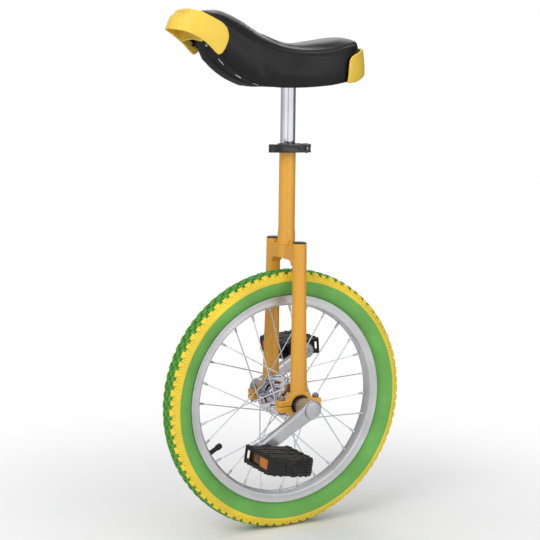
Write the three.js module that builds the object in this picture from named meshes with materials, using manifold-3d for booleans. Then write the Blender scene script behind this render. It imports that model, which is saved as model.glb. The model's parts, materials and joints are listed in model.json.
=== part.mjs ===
// A unicycle with an 18 inch wheel, modelled as an assembly of separate pieces.
// Units are millimetres. +X is forward, +Y is the rider's left and +Z is up.
// The origin is where the tyre touches the ground, straight below the axle.
import * as THREE from 'three';
import { mergeVertices } from 'three/addons/utils/BufferGeometryUtils.js';
import Module from 'manifold-3d';

const wasm = await Module();
wasm.setup();

// ---------- driving dimensions ----------

const GAP = 0.3;                    // clearance left between neighbouring pieces
const ROUND = 18;                   // sides of a small round part

const TYRE_RADIUS = 228;
const WHEEL_SIDES = 32;             // facets around the wheel, one of them flat on the ground
const AXLE_HEIGHT = TYRE_RADIUS * Math.cos(Math.PI / WHEEL_SIDES);

const RIM_LIP_RADIUS = 183.5;
const RIM_HALF_WIDTH = 12.5;
const RIM_WELL_RADIUS = 165.2;      // the face that the spokes pull on
const RIM_WALL = 2.1;

const SPOKES_PER_SIDE = 14;
const SPOKE_CROSSES = 3;
const SPOKE_RADIUS = 1.1;
const FIRST_SPOKE_ANGLE = 92.3;     // degrees, from forward towards up
const SPOKE_SIDES = 3;
const NIPPLE_RADIUS = 2.2;
const NIPPLE_LENGTH = 9;

const VALVE_ANGLE = -29.9;
const VALVE_STEM_RADIUS = 3.9;
const VALVE_HOLE_RADIUS = 4.4;
const VALVE_BORE_RADIUS = 1.6;
const VALVE_STEM_TIP = 146;
const VALVE_CAP_TIP = 140.8;

const FLANGE_OFFSET = 34;
const FLANGE_THICKNESS = 3.2;
const FLANGE_RADIUS = 35;
const FLANGE_HOLE_CIRCLE = 31.5;
const FLANGE_HOLE_RADIUS = 1.6;
const FLANGE_SLOTS = 6;
const FLANGE_SLOT_CIRCLE = 21.2;
const FLANGE_SLOT_WIDTH = 5;
const FLANGE_SLOT_SPAN = 38;
const FLANGE_FIRST_SLOT = 40;
const HUB_BARREL_RADIUS = 15;
const HUB_END_RADIUS = 12.5;
const HUB_HALF_LENGTH = 45.5;

const AXLE_RADIUS = 8.5;
const AXLE_ROUND_HALF = 66;
const AXLE_HALF_LENGTH = 92;
const AXLE_SQUARE_INNER = 7.2;      // half the side of the square taper, at its inner end
const AXLE_SQUARE_TIP = 6.1;

const BEARING_OFFSET = 51.7;
const BEARING_HALF_WIDTH = 5;
const BEARING_OUTER_RADIUS = 17.5;
const BEARING_OUTER_BORE = 14.7;
const BEARING_INNER_OUTSIDE = 11.5;
const BALL_CIRCLE = 13.1;
const BALL_RADIUS = 2.3;
const BALLS = 8;

const HOLDER_HALF_WIDTH = 8;
const HOLDER_BORE = BEARING_OUTER_RADIUS + GAP;
const HOLDER_RADIUS = 25;
const HOLDER_SPLIT = 0.7;           // half of the gap between the two halves of the holder
const EAR_REACH = 41;
const EAR_HEIGHT = 10;
const EAR_BOLT_REACH = 33;
const CAP_BOLT_RADIUS = 2.9;
const CAP_BOLT_HOLE = 3.3;
const CAP_NUT_RADIUS = 5.6;
const CAP_NUT_HEIGHT = 5;

const LEG_TOP = AXLE_HEIGHT + 277.5;
const LEG_TOP_OFFSET = 46.4;
const LEG_FOOT = AXLE_HEIGHT + 22;
const LEG_FOOT_OFFSET = 50.8;
const LEG_RADIUS = 12.3;
const LEG_FOOT_FORE_AFT = 15.4;
const LEG_FOOT_SIDEWAYS = 10;
const LEG_WALL = 1.6;
const PLUG_HEIGHT = 1.7;

const CROWN_BOTTOM = AXLE_HEIGHT + 247;
const CROWN_TOP = AXLE_HEIGHT + 272;
const CROWN_HALF_THICKNESS = 10;
const CROWN_FILLET = 8;

const SEAT_TUBE_RADIUS = 14;
const SEAT_TUBE_SOCKET = 15;
const SEAT_TUBE_BORE = 13;
const SEAT_TUBE_BOTTOM = AXLE_HEIGHT + 249;
const SEAT_TUBE_FLARE_LOW = AXLE_HEIGHT + 291;
const SEAT_TUBE_FLARE_HIGH = AXLE_HEIGHT + 300;
const SEAT_TUBE_TOP = AXLE_HEIGHT + 443;
const SEAT_TUBE_SLIT_HALF = 1.5;
const SEAT_TUBE_SLIT_LENGTH = 32;

const CLAMP_HEIGHT = 14.4;
const CLAMP_CENTRE = SEAT_TUBE_TOP - CLAMP_HEIGHT / 2 + 0.6;
const CLAMP_RADIUS = 17.4;
const CLAMP_EAR_HALF = 11;
const CLAMP_SKEWER_REACH = 24.5;
const CLAMP_EYE_REACH = 35;
const CLAMP_EYE_RADIUS = 7.2;
const CLAMP_EYE_HOLE = 3;
const SKEWER_RADIUS = 2.4;
const LEVER_PIVOT_X = -24.5;
const LEVER_PIVOT_Y = 22.5;
const LEVER_PIN_RADIUS = 2.6;
const LEVER_HALF_HEIGHT = 6.9;

const POST_RADIUS = 12.7;
const POST_WALL = 1.6;
const POST_BOTTOM = 560;
const POST_PLATE_HALF_LENGTH = 50;
const POST_PLATE_HALF_WIDTH = 22;
const POST_PLATE_THICKNESS = 3;
const SADDLE_BOLT_X = 40;
const SADDLE_BOLT_Y = 14;
const SADDLE_BOLT_RADIUS = 2.9;

const CRANK_LENGTH = 114;
const CRANK_ANGLE = -31;            // of the left crank, below forward
const CRANK_BOSS_INNER = 66;
const CRANK_ARM_INNER = 88;
const CRANK_OUTER = 101.5;
const CRANK_EYE_OUTER = 105;
const CRANK_BOSS_RADIUS = 16;
const CRANK_EYE_RADIUS = 13.5;
const CRANK_CAP_RADIUS = 13.4;

const PEDAL_HALF_LENGTH = 39.5;
const PEDAL_INNER = 13;             // along the pedal's axle, from the crank's face
const PEDAL_CORNER = 99;
const PEDAL_OUTER = 109;
const PEDAL_HALF_HEIGHT = 15;
const PEDAL_WALL = 6;
const PEDAL_BARREL_RADIUS = 14;
const PEDAL_BOSS_RADIUS = 16.3;
const PEDAL_AXLE_RADIUS = 4.6;
const LEFT_PEDAL_PITCH = 8;         // front edge up
const RIGHT_PEDAL_PITCH = -4;
const REFLECTOR_FROM = 31;
const REFLECTOR_TO = 94;
const REFLECTOR_HALF_HEIGHT = 8;
const REFLECTOR_DEPTH = 5;

// The saddle's outline, nose to tail: distance forward, half width, middle of the top, seam along the
// top edge, lower edge of the cover, and the underside of the base with half the width of its floor.
const SADDLE_STATIONS = [
  { x: 177, half: 30, top: 885, seam: 876, skirt: 850, under: 846, floor: 12 },
  { x: 172, half: 39, top: 889, seam: 881, skirt: 844, under: 830, floor: 12 },
  { x: 162, half: 44, top: 891.5, seam: 884, skirt: 836, under: 815, floor: 12 },
  { x: 149, half: 46, top: 892.5, seam: 880, skirt: 825, under: 804, floor: 12 },
  { x: 137, half: 47, top: 892.5, seam: 874, skirt: 811.5, under: 795.5, floor: 13 },
  { x: 116, half: 48, top: 885, seam: 861, skirt: 793, under: 783, floor: 16 },
  { x: 97, half: 50, top: 875.5, seam: 850.5, skirt: 781, under: 774.5, floor: 24 },
  { x: 74, half: 54, top: 861.5, seam: 840, skirt: 770.5, under: 767.5, floor: 38 },
  { x: 51, half: 60, top: 850.5, seam: 832.5, skirt: 766.5, under: 766, floor: 49 },
  { x: 27, half: 66, top: 841.5, seam: 828, skirt: 766, under: 766, floor: 55 },
  { x: -2, half: 75, top: 838.5, seam: 825.5, skirt: 767, under: 767, floor: 64 },
  { x: -40, half: 81, top: 843.5, seam: 827, skirt: 770.5, under: 770.5, floor: 70 },
  { x: -68, half: 80, top: 848, seam: 835, skirt: 775.5, under: 775.5, floor: 69 },
  { x: -90, half: 73, top: 851, seam: 842, skirt: 779, under: 779, floor: 62 },
  { x: -106, half: 60, top: 851, seam: 845.5, skirt: 782, under: 782, floor: 49 },
  { x: -117, half: 45, top: 848, seam: 844.5, skirt: 784.5, under: 784.5, floor: 34 },
  { x: -127.5, half: 28, top: 842, seam: 839.5, skirt: 787, under: 787, floor: 17 },
  { x: -133.5, half: 14, top: 833, seam: 831, skirt: 790, under: 789, floor: 3 },
];
const ROLL_UNDER = 16;              // how far the sides would go on below the cover's edge
const COVER_THICKNESS = 2.2;
const ROOM_DROP = 5;                // how far the base's inner room goes on below its floor
const BASE_HEIGHT = 15;
const BASE_WALL = 3.5;
const BASE_INSET = 10.5;            // from the outline in to the base's side walls
const BASE_LAP = 8;                 // how far the cover hangs down over the base at the nose
const BASE_UNDER = 767;             // the base's underside where the post meets it
const BASE_BOLT_BITE = 1.5;         // how far a bolt's tip goes into the base
const NOSE_DRAWN_FROM = 155;        // ahead of this the outline's stations move when it is drawn in
const TAIL_DRAWN_FROM = -100;       // and behind this
const BUMPER_THICKNESS = 3.4;
const BUMPER_HALF_WIDTH = 50.5;
const BUMPER_NOSE = 224.5;
const BUMPER_ROUND_FROM = 172;      // where its outline starts to curve in, seen from above
const BUMPER_LOW = 790;
const BUMPER_HIGH = 900;
const ARCH_HALF_WIDTH = 46.5;
const ARCH_FOOT = 832;
const WEB_BACK = 178.5;             // the web inside the front bumper, between the fingers and the padding
const WEB_FRONT = 182;

// ---------- colours ----------

const paint = new THREE.MeshStandardMaterial({ color: 0xe1a53c, roughness: 0.35, metalness: 0.1 });
const chrome = new THREE.MeshStandardMaterial({ color: 0xd8d8dc, roughness: 0.12, metalness: 1.0 });
const aluminium = new THREE.MeshStandardMaterial({ color: 0xb9babe, roughness: 0.4, metalness: 0.9 });
const steel = new THREE.MeshStandardMaterial({ color: 0xa4a5a8, roughness: 0.35, metalness: 0.9 });
const blackMetal = new THREE.MeshStandardMaterial({ color: 0x161616, roughness: 0.4, metalness: 0.3 });
const blackPlastic = new THREE.MeshStandardMaterial({ color: 0x1e1e1f, roughness: 0.6, metalness: 0 });
const amber = new THREE.MeshStandardMaterial({ color: 0xe0780a, roughness: 0.25, metalness: 0 });
const vinyl = new THREE.MeshStandardMaterial({ color: 0x222224, roughness: 0.5, metalness: 0 });
const foam = new THREE.MeshStandardMaterial({ color: 0xd9cf9a, roughness: 0.95, metalness: 0 });
const yellowPlastic = new THREE.MeshStandardMaterial({ color: 0xf0cd4e, roughness: 0.45, metalness: 0 });
const greenRubber = new THREE.MeshStandardMaterial({ color: 0x5aa344, roughness: 0.75, metalness: 0 });
const blackRubber = new THREE.MeshStandardMaterial({ color: 0x1a1a1a, roughness: 0.85, metalness: 0 });

// ---------- solids ----------

const degrees = THREE.MathUtils.degToRad;

/** Volume inside a closed triangle mesh, negative if its faces point inwards. */
function signedVolume(positions, indices) {
  const a = new THREE.Vector3();
  const b = new THREE.Vector3();
  const c = new THREE.Vector3();
  let total = 0;
  for (let i = 0; i < indices.length; i += 3) {
    a.fromArray(positions, indices[i] * 3);
    b.fromArray(positions, indices[i + 1] * 3);
    c.fromArray(positions, indices[i + 2] * 3);
    total += a.dot(b.cross(c)) / 6;
  }
  return total;
}

/** Leaves out the triangles that merging has closed up to a line. */
function withoutSlivers(indices) {
  const kept = [];
  for (let i = 0; i < indices.length; i += 3) {
    const [a, b, c] = [indices[i], indices[i + 1], indices[i + 2]];
    if (a !== b && b !== c && c !== a) kept.push(a, b, c);
  }
  return kept;
}

/** Turns a closed three.js geometry into a solid that can be joined and cut. */
function solid(geometry) {
  const bare = geometry.clone();
  bare.deleteAttribute('normal');
  bare.deleteAttribute('uv');
  const merged = mergeVertices(bare, 1e-4);
  const positions = new Float32Array(merged.getAttribute('position').array);
  const indices = Uint32Array.from(withoutSlivers(merged.getIndex().array));
  if (signedVolume(positions, indices) < 0) {
    for (let i = 0; i < indices.length; i += 3) {
      const second = indices[i + 1];
      indices[i + 1] = indices[i + 2];
      indices[i + 2] = second;
    }
  }
  const mesh = new wasm.Mesh({ numProp: 3, vertProperties: positions, triVerts: indices });
  return new wasm.Manifold(mesh);
}

/** The geometry of a solid. */
function geometryOf(body) {
  const mesh = body.getMesh();
  const geometry = new THREE.BufferGeometry();
  geometry.setAttribute('position', new THREE.BufferAttribute(new Float32Array(mesh.vertProperties), 3));
  geometry.setIndex(new THREE.BufferAttribute(Uint32Array.from(mesh.triVerts), 1));
  geometry.computeVertexNormals();
  return geometry;
}

const join = (...bodies) => bodies.reduce((whole, next) => whole.add(next));
const cut = (body, ...tools) => tools.reduce((whole, tool) => whole.subtract(tool), body);

/** A round solid about the Y axis, from a closed profile of [radius, y] points. */
function turned(profile, sides = ROUND, start = 0) {
  const points = profile.map(([radius, y]) => new THREE.Vector2(radius, y));
  const closed = points[0].x > 1e-6 || points[points.length - 1].x > 1e-6;
  if (closed) points.push(points[0].clone());
  return solid(new THREE.LatheGeometry(points, sides, start, 2 * Math.PI));
}

/** The same, with a flat facet facing straight down, as every part of the wheel has. */
const turnedWheel = (profile) => turned(profile, WHEEL_SIDES, Math.PI / WHEEL_SIDES);

/** A plain round bar or, with a bore, a tube, about the Y axis from y0 to y1. */
function bar(radius, y0, y1, bore = 0, sides = ROUND) {
  if (bore > 0) return turned([[bore, y0], [radius, y0], [radius, y1], [bore, y1]], sides);
  return turned([[0, y0], [radius, y0], [radius, y1], [0, y1]], sides);
}

/** Turns a solid made about the Y axis so that its axis points up. */
const upright = (body) => body.rotate([90, 0, 0]);

function box(x0, x1, y0, y1, z0, z1) {
  const geometry = new THREE.BoxGeometry(x1 - x0, y1 - y0, z1 - z0);
  return solid(geometry.translate((x0 + x1) / 2, (y0 + y1) / 2, (z0 + z1) / 2));
}

/** Extrudes a shape drawn in the X-Z plane along Y, from y0 to y1. */
function extrudedAlongY(shape, y0, y1, curveSegments = 6) {
  const geometry = new THREE.ExtrudeGeometry(shape, { depth: y1 - y0, bevelEnabled: false, curveSegments });
  geometry.rotateX(Math.PI / 2);
  return solid(geometry.translate(0, y1, 0));
}

/** Extrudes a shape drawn in the X-Y plane upwards, from z0 to z1. */
function extrudedUp(shape, z0, z1, curveSegments = 6) {
  const geometry = new THREE.ExtrudeGeometry(shape, { depth: z1 - z0, bevelEnabled: false, curveSegments });
  return solid(geometry.translate(0, 0, z0));
}

const outline = (points) => new THREE.Shape(points.map(([a, b]) => new THREE.Vector2(a, b)));

/** Skins a row of closed rings, each an equal list of Vector3, and caps both ends. */
function lofted(rings) {
  const sides = rings[0].length;
  const positions = [];
  const indices = [];
  for (const ring of rings) for (const point of ring) positions.push(point.x, point.y, point.z);
  for (let i = 0; i < rings.length - 1; i += 1) {
    for (let j = 0; j < sides; j += 1) {
      const a = i * sides + j;
      const b = i * sides + ((j + 1) % sides);
      indices.push(a, b, a + sides, b, b + sides, a + sides);
    }
  }
  const last = (rings.length - 1) * sides;
  for (let j = 1; j < sides - 1; j += 1) {
    indices.push(0, j + 1, j);
    indices.push(last, last + j, last + j + 1);
  }
  const geometry = new THREE.BufferGeometry();
  geometry.setAttribute('position', new THREE.BufferAttribute(new Float32Array(positions), 3));
  geometry.setIndex(indices);
  return solid(geometry);
}

// ---------- the assembly ----------

const unicycle = new THREE.Group();
const wheel = new THREE.Group();
wheel.position.z = AXLE_HEIGHT;
unicycle.add(wheel);

function piece(parent, name, body, material) {
  const mesh = new THREE.Mesh(geometryOf(body), material);
  mesh.name = name;
  parent.add(mesh);
}

/** The right-hand copy of a left-hand solid. */
const mirrored = (body) => body.mirror([0, 1, 0]);

/** Half a turn about the axle, which takes the left crank side to the right one. */
const halfTurned = (body) => body.rotate([0, 180, 0]);

// ---------- tyre, tube and rim ----------

const mirrorProfile = (points) => points.map(([radius, y]) => [radius, -y]);

/** The closed profile of a channel, from the +Y halves of its outer face and of its inner face. */
function channel(outer, inner) {
  return [...outer, ...mirrorProfile(outer).reverse(), ...mirrorProfile(inner), ...inner.slice().reverse()];
}

function tyre() {
  const outside = [[176.6, 10.5], [185.6, 10.8], [198, 23], [212, 23.8], [222.6, 19.8],
    [TYRE_RADIUS, 12.5]];
  const inside = [[176.6, 7.7], [188, 8], [199.5, 19.6], [212, 20], [219.6, 13.6]];
  return turnedWheel(channel(outside, inside));
}

/** A cutter or a plug on the valve's line, from one radius to another. */
function onValveLine(radius, from, to, sides = 12) {
  return bar(radius, from, to, 0, sides).rotate([0, 0, -90]).rotate([0, -VALVE_ANGLE, 0]);
}

function rim() {
  const bed = RIM_WELL_RADIUS + RIM_WALL;
  const hubFace = [[RIM_LIP_RADIUS, RIM_HALF_WIDTH], [169, RIM_HALF_WIDTH], [RIM_WELL_RADIUS, 5]];
  const tyreFace = [[RIM_LIP_RADIUS, 11.2], [175.6, 11.2], [175.6, 8.4], [bed, 5.6]];
  return cut(turnedWheel(channel(hubFace, tyreFace)), onValveLine(VALVE_HOLE_RADIUS, 160, 175));
}

function rimTape() {
  const inner = RIM_WELL_RADIUS + RIM_WALL + GAP;
  const outer = inner + 0.8;
  const band = turnedWheel([[inner, -4.8], [outer, -4.8], [outer, 4.8], [inner, 4.8]]);
  return cut(band, onValveLine(VALVE_HOLE_RADIUS, 160, 175));
}

/** The tube is a thin hollow ring that opens only through the bore of its valve. */
function innerTube() {
  const skin = [[169.2, 3.8], [188.4, 7], [200, 18.4], [211.6, 18.6], [218.4, 12.8]];
  const cavity = [[170.6, 2.9], [189, 5.8], [200.6, 17], [211, 17.2], [217, 11.9]];
  const ring = (half) => turnedWheel([...half, ...mirrorProfile(half).reverse()]);
  const stem = onValveLine(VALVE_STEM_RADIUS, VALVE_STEM_TIP, 171);
  const bore = onValveLine(VALVE_BORE_RADIUS, VALVE_STEM_TIP - 1, 176, 8);
  return cut(join(ring(skin), stem), ring(cavity), bore);
}

function valveCap() {
  const fit = VALVE_STEM_RADIUS + GAP;
  const mouth = VALVE_STEM_TIP + 4;
  const cup = turned([
    [0, VALVE_CAP_TIP], [3.6, VALVE_CAP_TIP], [4.9, VALVE_CAP_TIP + 1.5], [4.9, mouth], [fit, mouth],
    [fit, VALVE_STEM_TIP - 1], [0, VALVE_STEM_TIP - 1],
  ], 12);
  return cup.rotate([0, 0, -90]).rotate([0, -VALVE_ANGLE, 0]);
}

piece(wheel, 'tyre', tyre(), greenRubber);
piece(wheel, 'rim', rim(), aluminium);
piece(wheel, 'rim_tape', rimTape(), yellowPlastic);
piece(wheel, 'inner_tube', innerTube(), blackRubber);
piece(wheel, 'valve_cap', valveCap(), blackPlastic);

// ---------- hub, axle and spokes ----------

/** A point in the wheel, from its distance to the axle, its angle above forward, and y. */
function onWheel(radius, angle, y) {
  return new THREE.Vector3(radius * Math.cos(degrees(angle)), y, radius * Math.sin(degrees(angle)));
}

const SPOKE_STEP = 180 / SPOKES_PER_SIDE;       // between neighbouring spokes at the rim
const SPOKE_SWEEP = SPOKE_CROSSES * 2 * SPOKE_STEP;

/**
 * The spokes of one side: side is +1 for the left and -1 for the right. At the rim the two sides take
 * turns, and on each side every second spoke leans the other way.
 */
function spokeLines(side) {
  const lines = [];
  const first = side > 0 ? 0 : 1;
  for (let i = 0; i < SPOKES_PER_SIDE; i += 1) {
    const rimAngle = FIRST_SPOKE_ANGLE + (first + 2 * i) * SPOKE_STEP;
    const lean = (i % 2 === 0 ? 1 : -1) * side;
    lines.push({ rimAngle, hubAngle: rimAngle + lean * SPOKE_SWEEP });
  }
  return lines;
}

/** The holes of a flange lie where its spokes start. */
function flange(side) {
  const low = side * FLANGE_OFFSET - FLANGE_THICKNESS / 2;
  const high = low + FLANGE_THICKNESS;
  let disc = bar(FLANGE_RADIUS, low, high, 0, 28);
  for (const { hubAngle } of spokeLines(side)) {
    const at = onWheel(FLANGE_HOLE_CIRCLE, hubAngle, 0);
    disc = disc.subtract(bar(FLANGE_HOLE_RADIUS, low - 1, high + 1, 0, 4).translate([at.x, 0, at.z]));
  }
  for (let i = 0; i < FLANGE_SLOTS; i += 1) {
    const middle = degrees(FLANGE_FIRST_SLOT + (i * 360) / FLANGE_SLOTS);
    const half = degrees(FLANGE_SLOT_SPAN / 2);
    const slot = new THREE.Shape();
    slot.absarc(0, 0, FLANGE_SLOT_CIRCLE + FLANGE_SLOT_WIDTH / 2, middle - half, middle + half, false);
    slot.absarc(0, 0, FLANGE_SLOT_CIRCLE - FLANGE_SLOT_WIDTH / 2, middle + half, middle - half, true);
    disc = disc.subtract(extrudedAlongY(slot, low - 1, high + 1, 1));
  }
  return disc;
}

function hubShell() {
  const shoulder = FLANGE_OFFSET + FLANGE_THICKNESS / 2 + 1.5;
  const barrel = turned(symmetricBar([[HUB_BARREL_RADIUS, 0], [HUB_BARREL_RADIUS, shoulder],
    [HUB_END_RADIUS, shoulder], [HUB_END_RADIUS, HUB_HALF_LENGTH]]));
  return cut(
    join(barrel, flange(1), flange(-1)),
    bar(AXLE_RADIUS + GAP, -HUB_HALF_LENGTH - 1, HUB_HALF_LENGTH + 1),
  );
}

/** A solid bar's profile that is the same on both sides of y = 0, from its +Y half. */
function symmetricBar(half) {
  const low = half.filter(([, y]) => y > 0).map(([radius, y]) => [radius, -y]).reverse();
  const end = half[half.length - 1][1];
  return [[0, -end], ...low, ...half.filter(([, y]) => y > 0), [0, end]];
}

/** The square, tapered end of the axle that a crank is pressed on. */
function axleSquare() {
  const ring = (half, y) => [[half, half], [-half, half], [-half, -half], [half, -half]]
    .map(([x, z]) => new THREE.Vector3(x, y, z));
  return lofted([ring(AXLE_SQUARE_INNER, AXLE_ROUND_HALF - 2), ring(AXLE_SQUARE_TIP, AXLE_HALF_LENGTH)])
    .rotate([0, -CRANK_ANGLE, 0]);
}

function axle() {
  const square = axleSquare();
  const round = bar(AXLE_RADIUS, -AXLE_ROUND_HALF, AXLE_ROUND_HALF);
  const body = join(round, square, mirrored(halfTurned(square)));
  const tapping = bar(CRANK_BOLT_HOLE, AXLE_HALF_LENGTH - 20, AXLE_HALF_LENGTH + 1, 0, 12);
  return cut(body, tapping, mirrored(tapping));
}

/** A bent spoke with its nipple: thin from its head, round its elbow, and thick at the rim end. */
function spoke(head, elbow, end) {
  const outwards = new THREE.Vector3().subVectors(elbow, head).normalize();
  const along = new THREE.Vector3().subVectors(end, elbow).normalize();
  const halfway = outwards.clone().add(along).normalize();
  const across = new THREE.Vector3().crossVectors(outwards, along).normalize();
  const neck = end.clone().addScaledVector(along, -NIPPLE_LENGTH);
  const shoulder = neck.clone().addScaledVector(along, 0.5);
  const ring = (centre, direction, radius) => {
    const other = new THREE.Vector3().crossVectors(direction, across);
    return Array.from({ length: SPOKE_SIDES }, (_, i) => {
      const turn = (i / SPOKE_SIDES) * 2 * Math.PI;
      return centre.clone()
        .addScaledVector(across, radius * Math.cos(turn))
        .addScaledVector(other, radius * Math.sin(turn));
    });
  };
  return lofted([
    ring(head, outwards, SPOKE_RADIUS),
    ring(elbow, halfway, SPOKE_RADIUS),
    ring(neck, along, SPOKE_RADIUS),
    ring(shoulder, along, NIPPLE_RADIUS),
    ring(end, along, NIPPLE_RADIUS),
  ]);
}

/** One side's spokes touch where they cross, so they make one lattice. */
function spokes(side) {
  const inside = side * (FLANGE_OFFSET - FLANGE_THICKNESS / 2 - GAP - SPOKE_RADIUS);
  const outside = side * (FLANGE_OFFSET + FLANGE_THICKNESS / 2 + 1.6);
  const rimEnd = RIM_WELL_RADIUS * Math.cos(Math.PI / WHEEL_SIDES) - 2 * GAP;
  const rimY = side * 1.5;
  return join(...spokeLines(side).map(({ rimAngle, hubAngle }) => spoke(
    onWheel(FLANGE_HOLE_CIRCLE, hubAngle, outside),
    onWheel(FLANGE_HOLE_CIRCLE, hubAngle, inside),
    onWheel(rimEnd, rimAngle, rimY),
  )));
}

const CRANK_BOLT_HOLE = 4;
piece(wheel, 'hub_shell', hubShell(), chrome);
piece(wheel, 'axle', axle(), steel);
piece(wheel, 'left_spokes', spokes(1), steel);
piece(wheel, 'right_spokes', spokes(-1), steel);

// ---------- bearings ----------

/** A shallow groove for the balls, as [radius, y] points: direction says whether it sinks out or in. */
function groove(radius, depth, direction) {
  return [[radius, -2.8], [radius + direction * depth, 0], [radius, 2.8]];
}

function outerRing() {
  return turned([...groove(BEARING_OUTER_BORE, 1.1, 1),
    [BEARING_OUTER_BORE, BEARING_HALF_WIDTH], [BEARING_OUTER_RADIUS, BEARING_HALF_WIDTH],
    [BEARING_OUTER_RADIUS, -BEARING_HALF_WIDTH], [BEARING_OUTER_BORE, -BEARING_HALF_WIDTH]]);
}

function innerRing() {
  const bore = AXLE_RADIUS + GAP;
  return turned([...groove(BEARING_INNER_OUTSIDE, 1.1, -1),
    [BEARING_INNER_OUTSIDE, BEARING_HALF_WIDTH], [bore, BEARING_HALF_WIDTH],
    [bore, -BEARING_HALF_WIDTH], [BEARING_INNER_OUTSIDE, -BEARING_HALF_WIDTH]]);
}

function ballCage() {
  let cage = bar(BALL_CIRCLE + 0.8, -1, 1, BALL_CIRCLE - 0.8, BALLS);
  for (let i = 0; i < BALLS; i += 1) {
    const at = onWheel(BALL_CIRCLE, (i * 360) / BALLS, 0);
    const ball = new THREE.IcosahedronGeometry(BALL_RADIUS, 0);
    cage = cage.add(solid(ball.translate(at.x, at.y, at.z)));
  }
  return cage;
}

for (const [side, name] of [[1, 'left'], [-1, 'right']]) {
  const place = [0, side * BEARING_OFFSET, 0];
  piece(wheel, `${name}_bearing_outer_ring`, outerRing().translate(place), steel);
  piece(wheel, `${name}_bearing_inner_ring`, innerRing().translate(place), steel);
  piece(wheel, `${name}_bearing_balls`, ballCage().translate(place), steel);
}

// ---------- frame ----------

/** A ring of points around a leg at one height, with the leg's own splay and section. */
function legRing(z, inset = 0) {
  const low = (LEG_TOP - z) / (LEG_TOP - LEG_FOOT);
  const y = THREE.MathUtils.lerp(LEG_TOP_OFFSET, LEG_FOOT_OFFSET, low);
  const squeeze = THREE.MathUtils.smoothstep(low, 0.35, 1);
  const foreAft = THREE.MathUtils.lerp(LEG_RADIUS, LEG_FOOT_FORE_AFT, squeeze) - inset;
  const sideways = THREE.MathUtils.lerp(LEG_RADIUS, LEG_FOOT_SIDEWAYS, squeeze) - inset;
  const ring = [];
  for (let i = 0; i < ROUND; i += 1) {
    const turn = (i / ROUND) * 2 * Math.PI;
    ring.push(new THREE.Vector3(foreAft * Math.cos(turn), y + sideways * Math.sin(turn), z));
  }
  return ring;
}

function leg(inset, bottom, top) {
  const heights = [0, 0.5, 1].map((t) => bottom + t * (top - bottom));
  return lofted(heights.map((z) => legRing(z, inset)));
}

/** One half of a bearing holder, about the axle, with its two ears. The lower half is the cap. */
function holderHalf(upper) {
  const up = upper ? 1 : -1;
  const shape = new THREE.Shape();
  const shoulder = upper ? 21 : 24;
  shape.moveTo(HOLDER_BORE, up * HOLDER_SPLIT);
  shape.lineTo(EAR_REACH, up * HOLDER_SPLIT);
  shape.lineTo(EAR_REACH, up * (EAR_HEIGHT - 2.5));
  shape.lineTo(EAR_REACH - 2.5, up * EAR_HEIGHT);
  shape.lineTo(shoulder + 4, up * EAR_HEIGHT);
  if (upper) {
    shape.lineTo(16, 25);
    shape.lineTo(14, 34);
    shape.lineTo(-14, 34);
    shape.lineTo(-16, 25);
  } else {
    shape.lineTo(15, -(HOLDER_RADIUS - 4));
    shape.lineTo(8, -HOLDER_RADIUS);
    shape.lineTo(-8, -HOLDER_RADIUS);
    shape.lineTo(-15, -(HOLDER_RADIUS - 4));
  }
  shape.lineTo(-shoulder - 4, up * EAR_HEIGHT);
  shape.lineTo(-EAR_REACH + 2.5, up * EAR_HEIGHT);
  shape.lineTo(-EAR_REACH, up * (EAR_HEIGHT - 2.5));
  shape.lineTo(-EAR_REACH, up * HOLDER_SPLIT);
  shape.lineTo(-HOLDER_BORE, up * HOLDER_SPLIT);
  const from = BEARING_OFFSET - HOLDER_HALF_WIDTH;
  const to = BEARING_OFFSET + HOLDER_HALF_WIDTH;
  let half = extrudedAlongY(shape, from, to);
  half = cut(half, bar(HOLDER_BORE, from - 1, to + 1));
  for (const x of [EAR_BOLT_REACH, -EAR_BOLT_REACH]) {
    const hole = upright(bar(CAP_BOLT_HOLE, -20, 20, 0, 12)).translate([x, BEARING_OFFSET, 0]);
    half = half.subtract(hole);
  }
  return half;
}

/** The crown web from the seat tube to the left leg, with rounded corners under it. */
function crownWeb() {
  const shape = new THREE.Shape();
  const legFace = LEG_TOP_OFFSET - 6;
  shape.moveTo(0, CROWN_TOP);
  shape.lineTo(legFace, CROWN_TOP);
  shape.lineTo(legFace, CROWN_BOTTOM - CROWN_FILLET);
  shape.lineTo(LEG_TOP_OFFSET - LEG_RADIUS, CROWN_BOTTOM - CROWN_FILLET);
  shape.absarc(
    LEG_TOP_OFFSET - LEG_RADIUS - CROWN_FILLET,
    CROWN_BOTTOM - CROWN_FILLET,
    CROWN_FILLET,
    0,
    Math.PI / 2,
    false,
  );
  shape.lineTo(0, CROWN_BOTTOM);
  return extrudedAlongY(shape, -CROWN_HALF_THICKNESS, CROWN_HALF_THICKNESS, 5).rotate([0, 0, 90]);
}

function seatTube() {
  const profile = [[0, SEAT_TUBE_BOTTOM], [SEAT_TUBE_SOCKET, SEAT_TUBE_BOTTOM],
    [SEAT_TUBE_SOCKET, SEAT_TUBE_FLARE_LOW], [SEAT_TUBE_RADIUS, SEAT_TUBE_FLARE_HIGH],
    [SEAT_TUBE_RADIUS, SEAT_TUBE_TOP], [0, SEAT_TUBE_TOP]];
  return upright(turned(profile));
}

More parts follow.
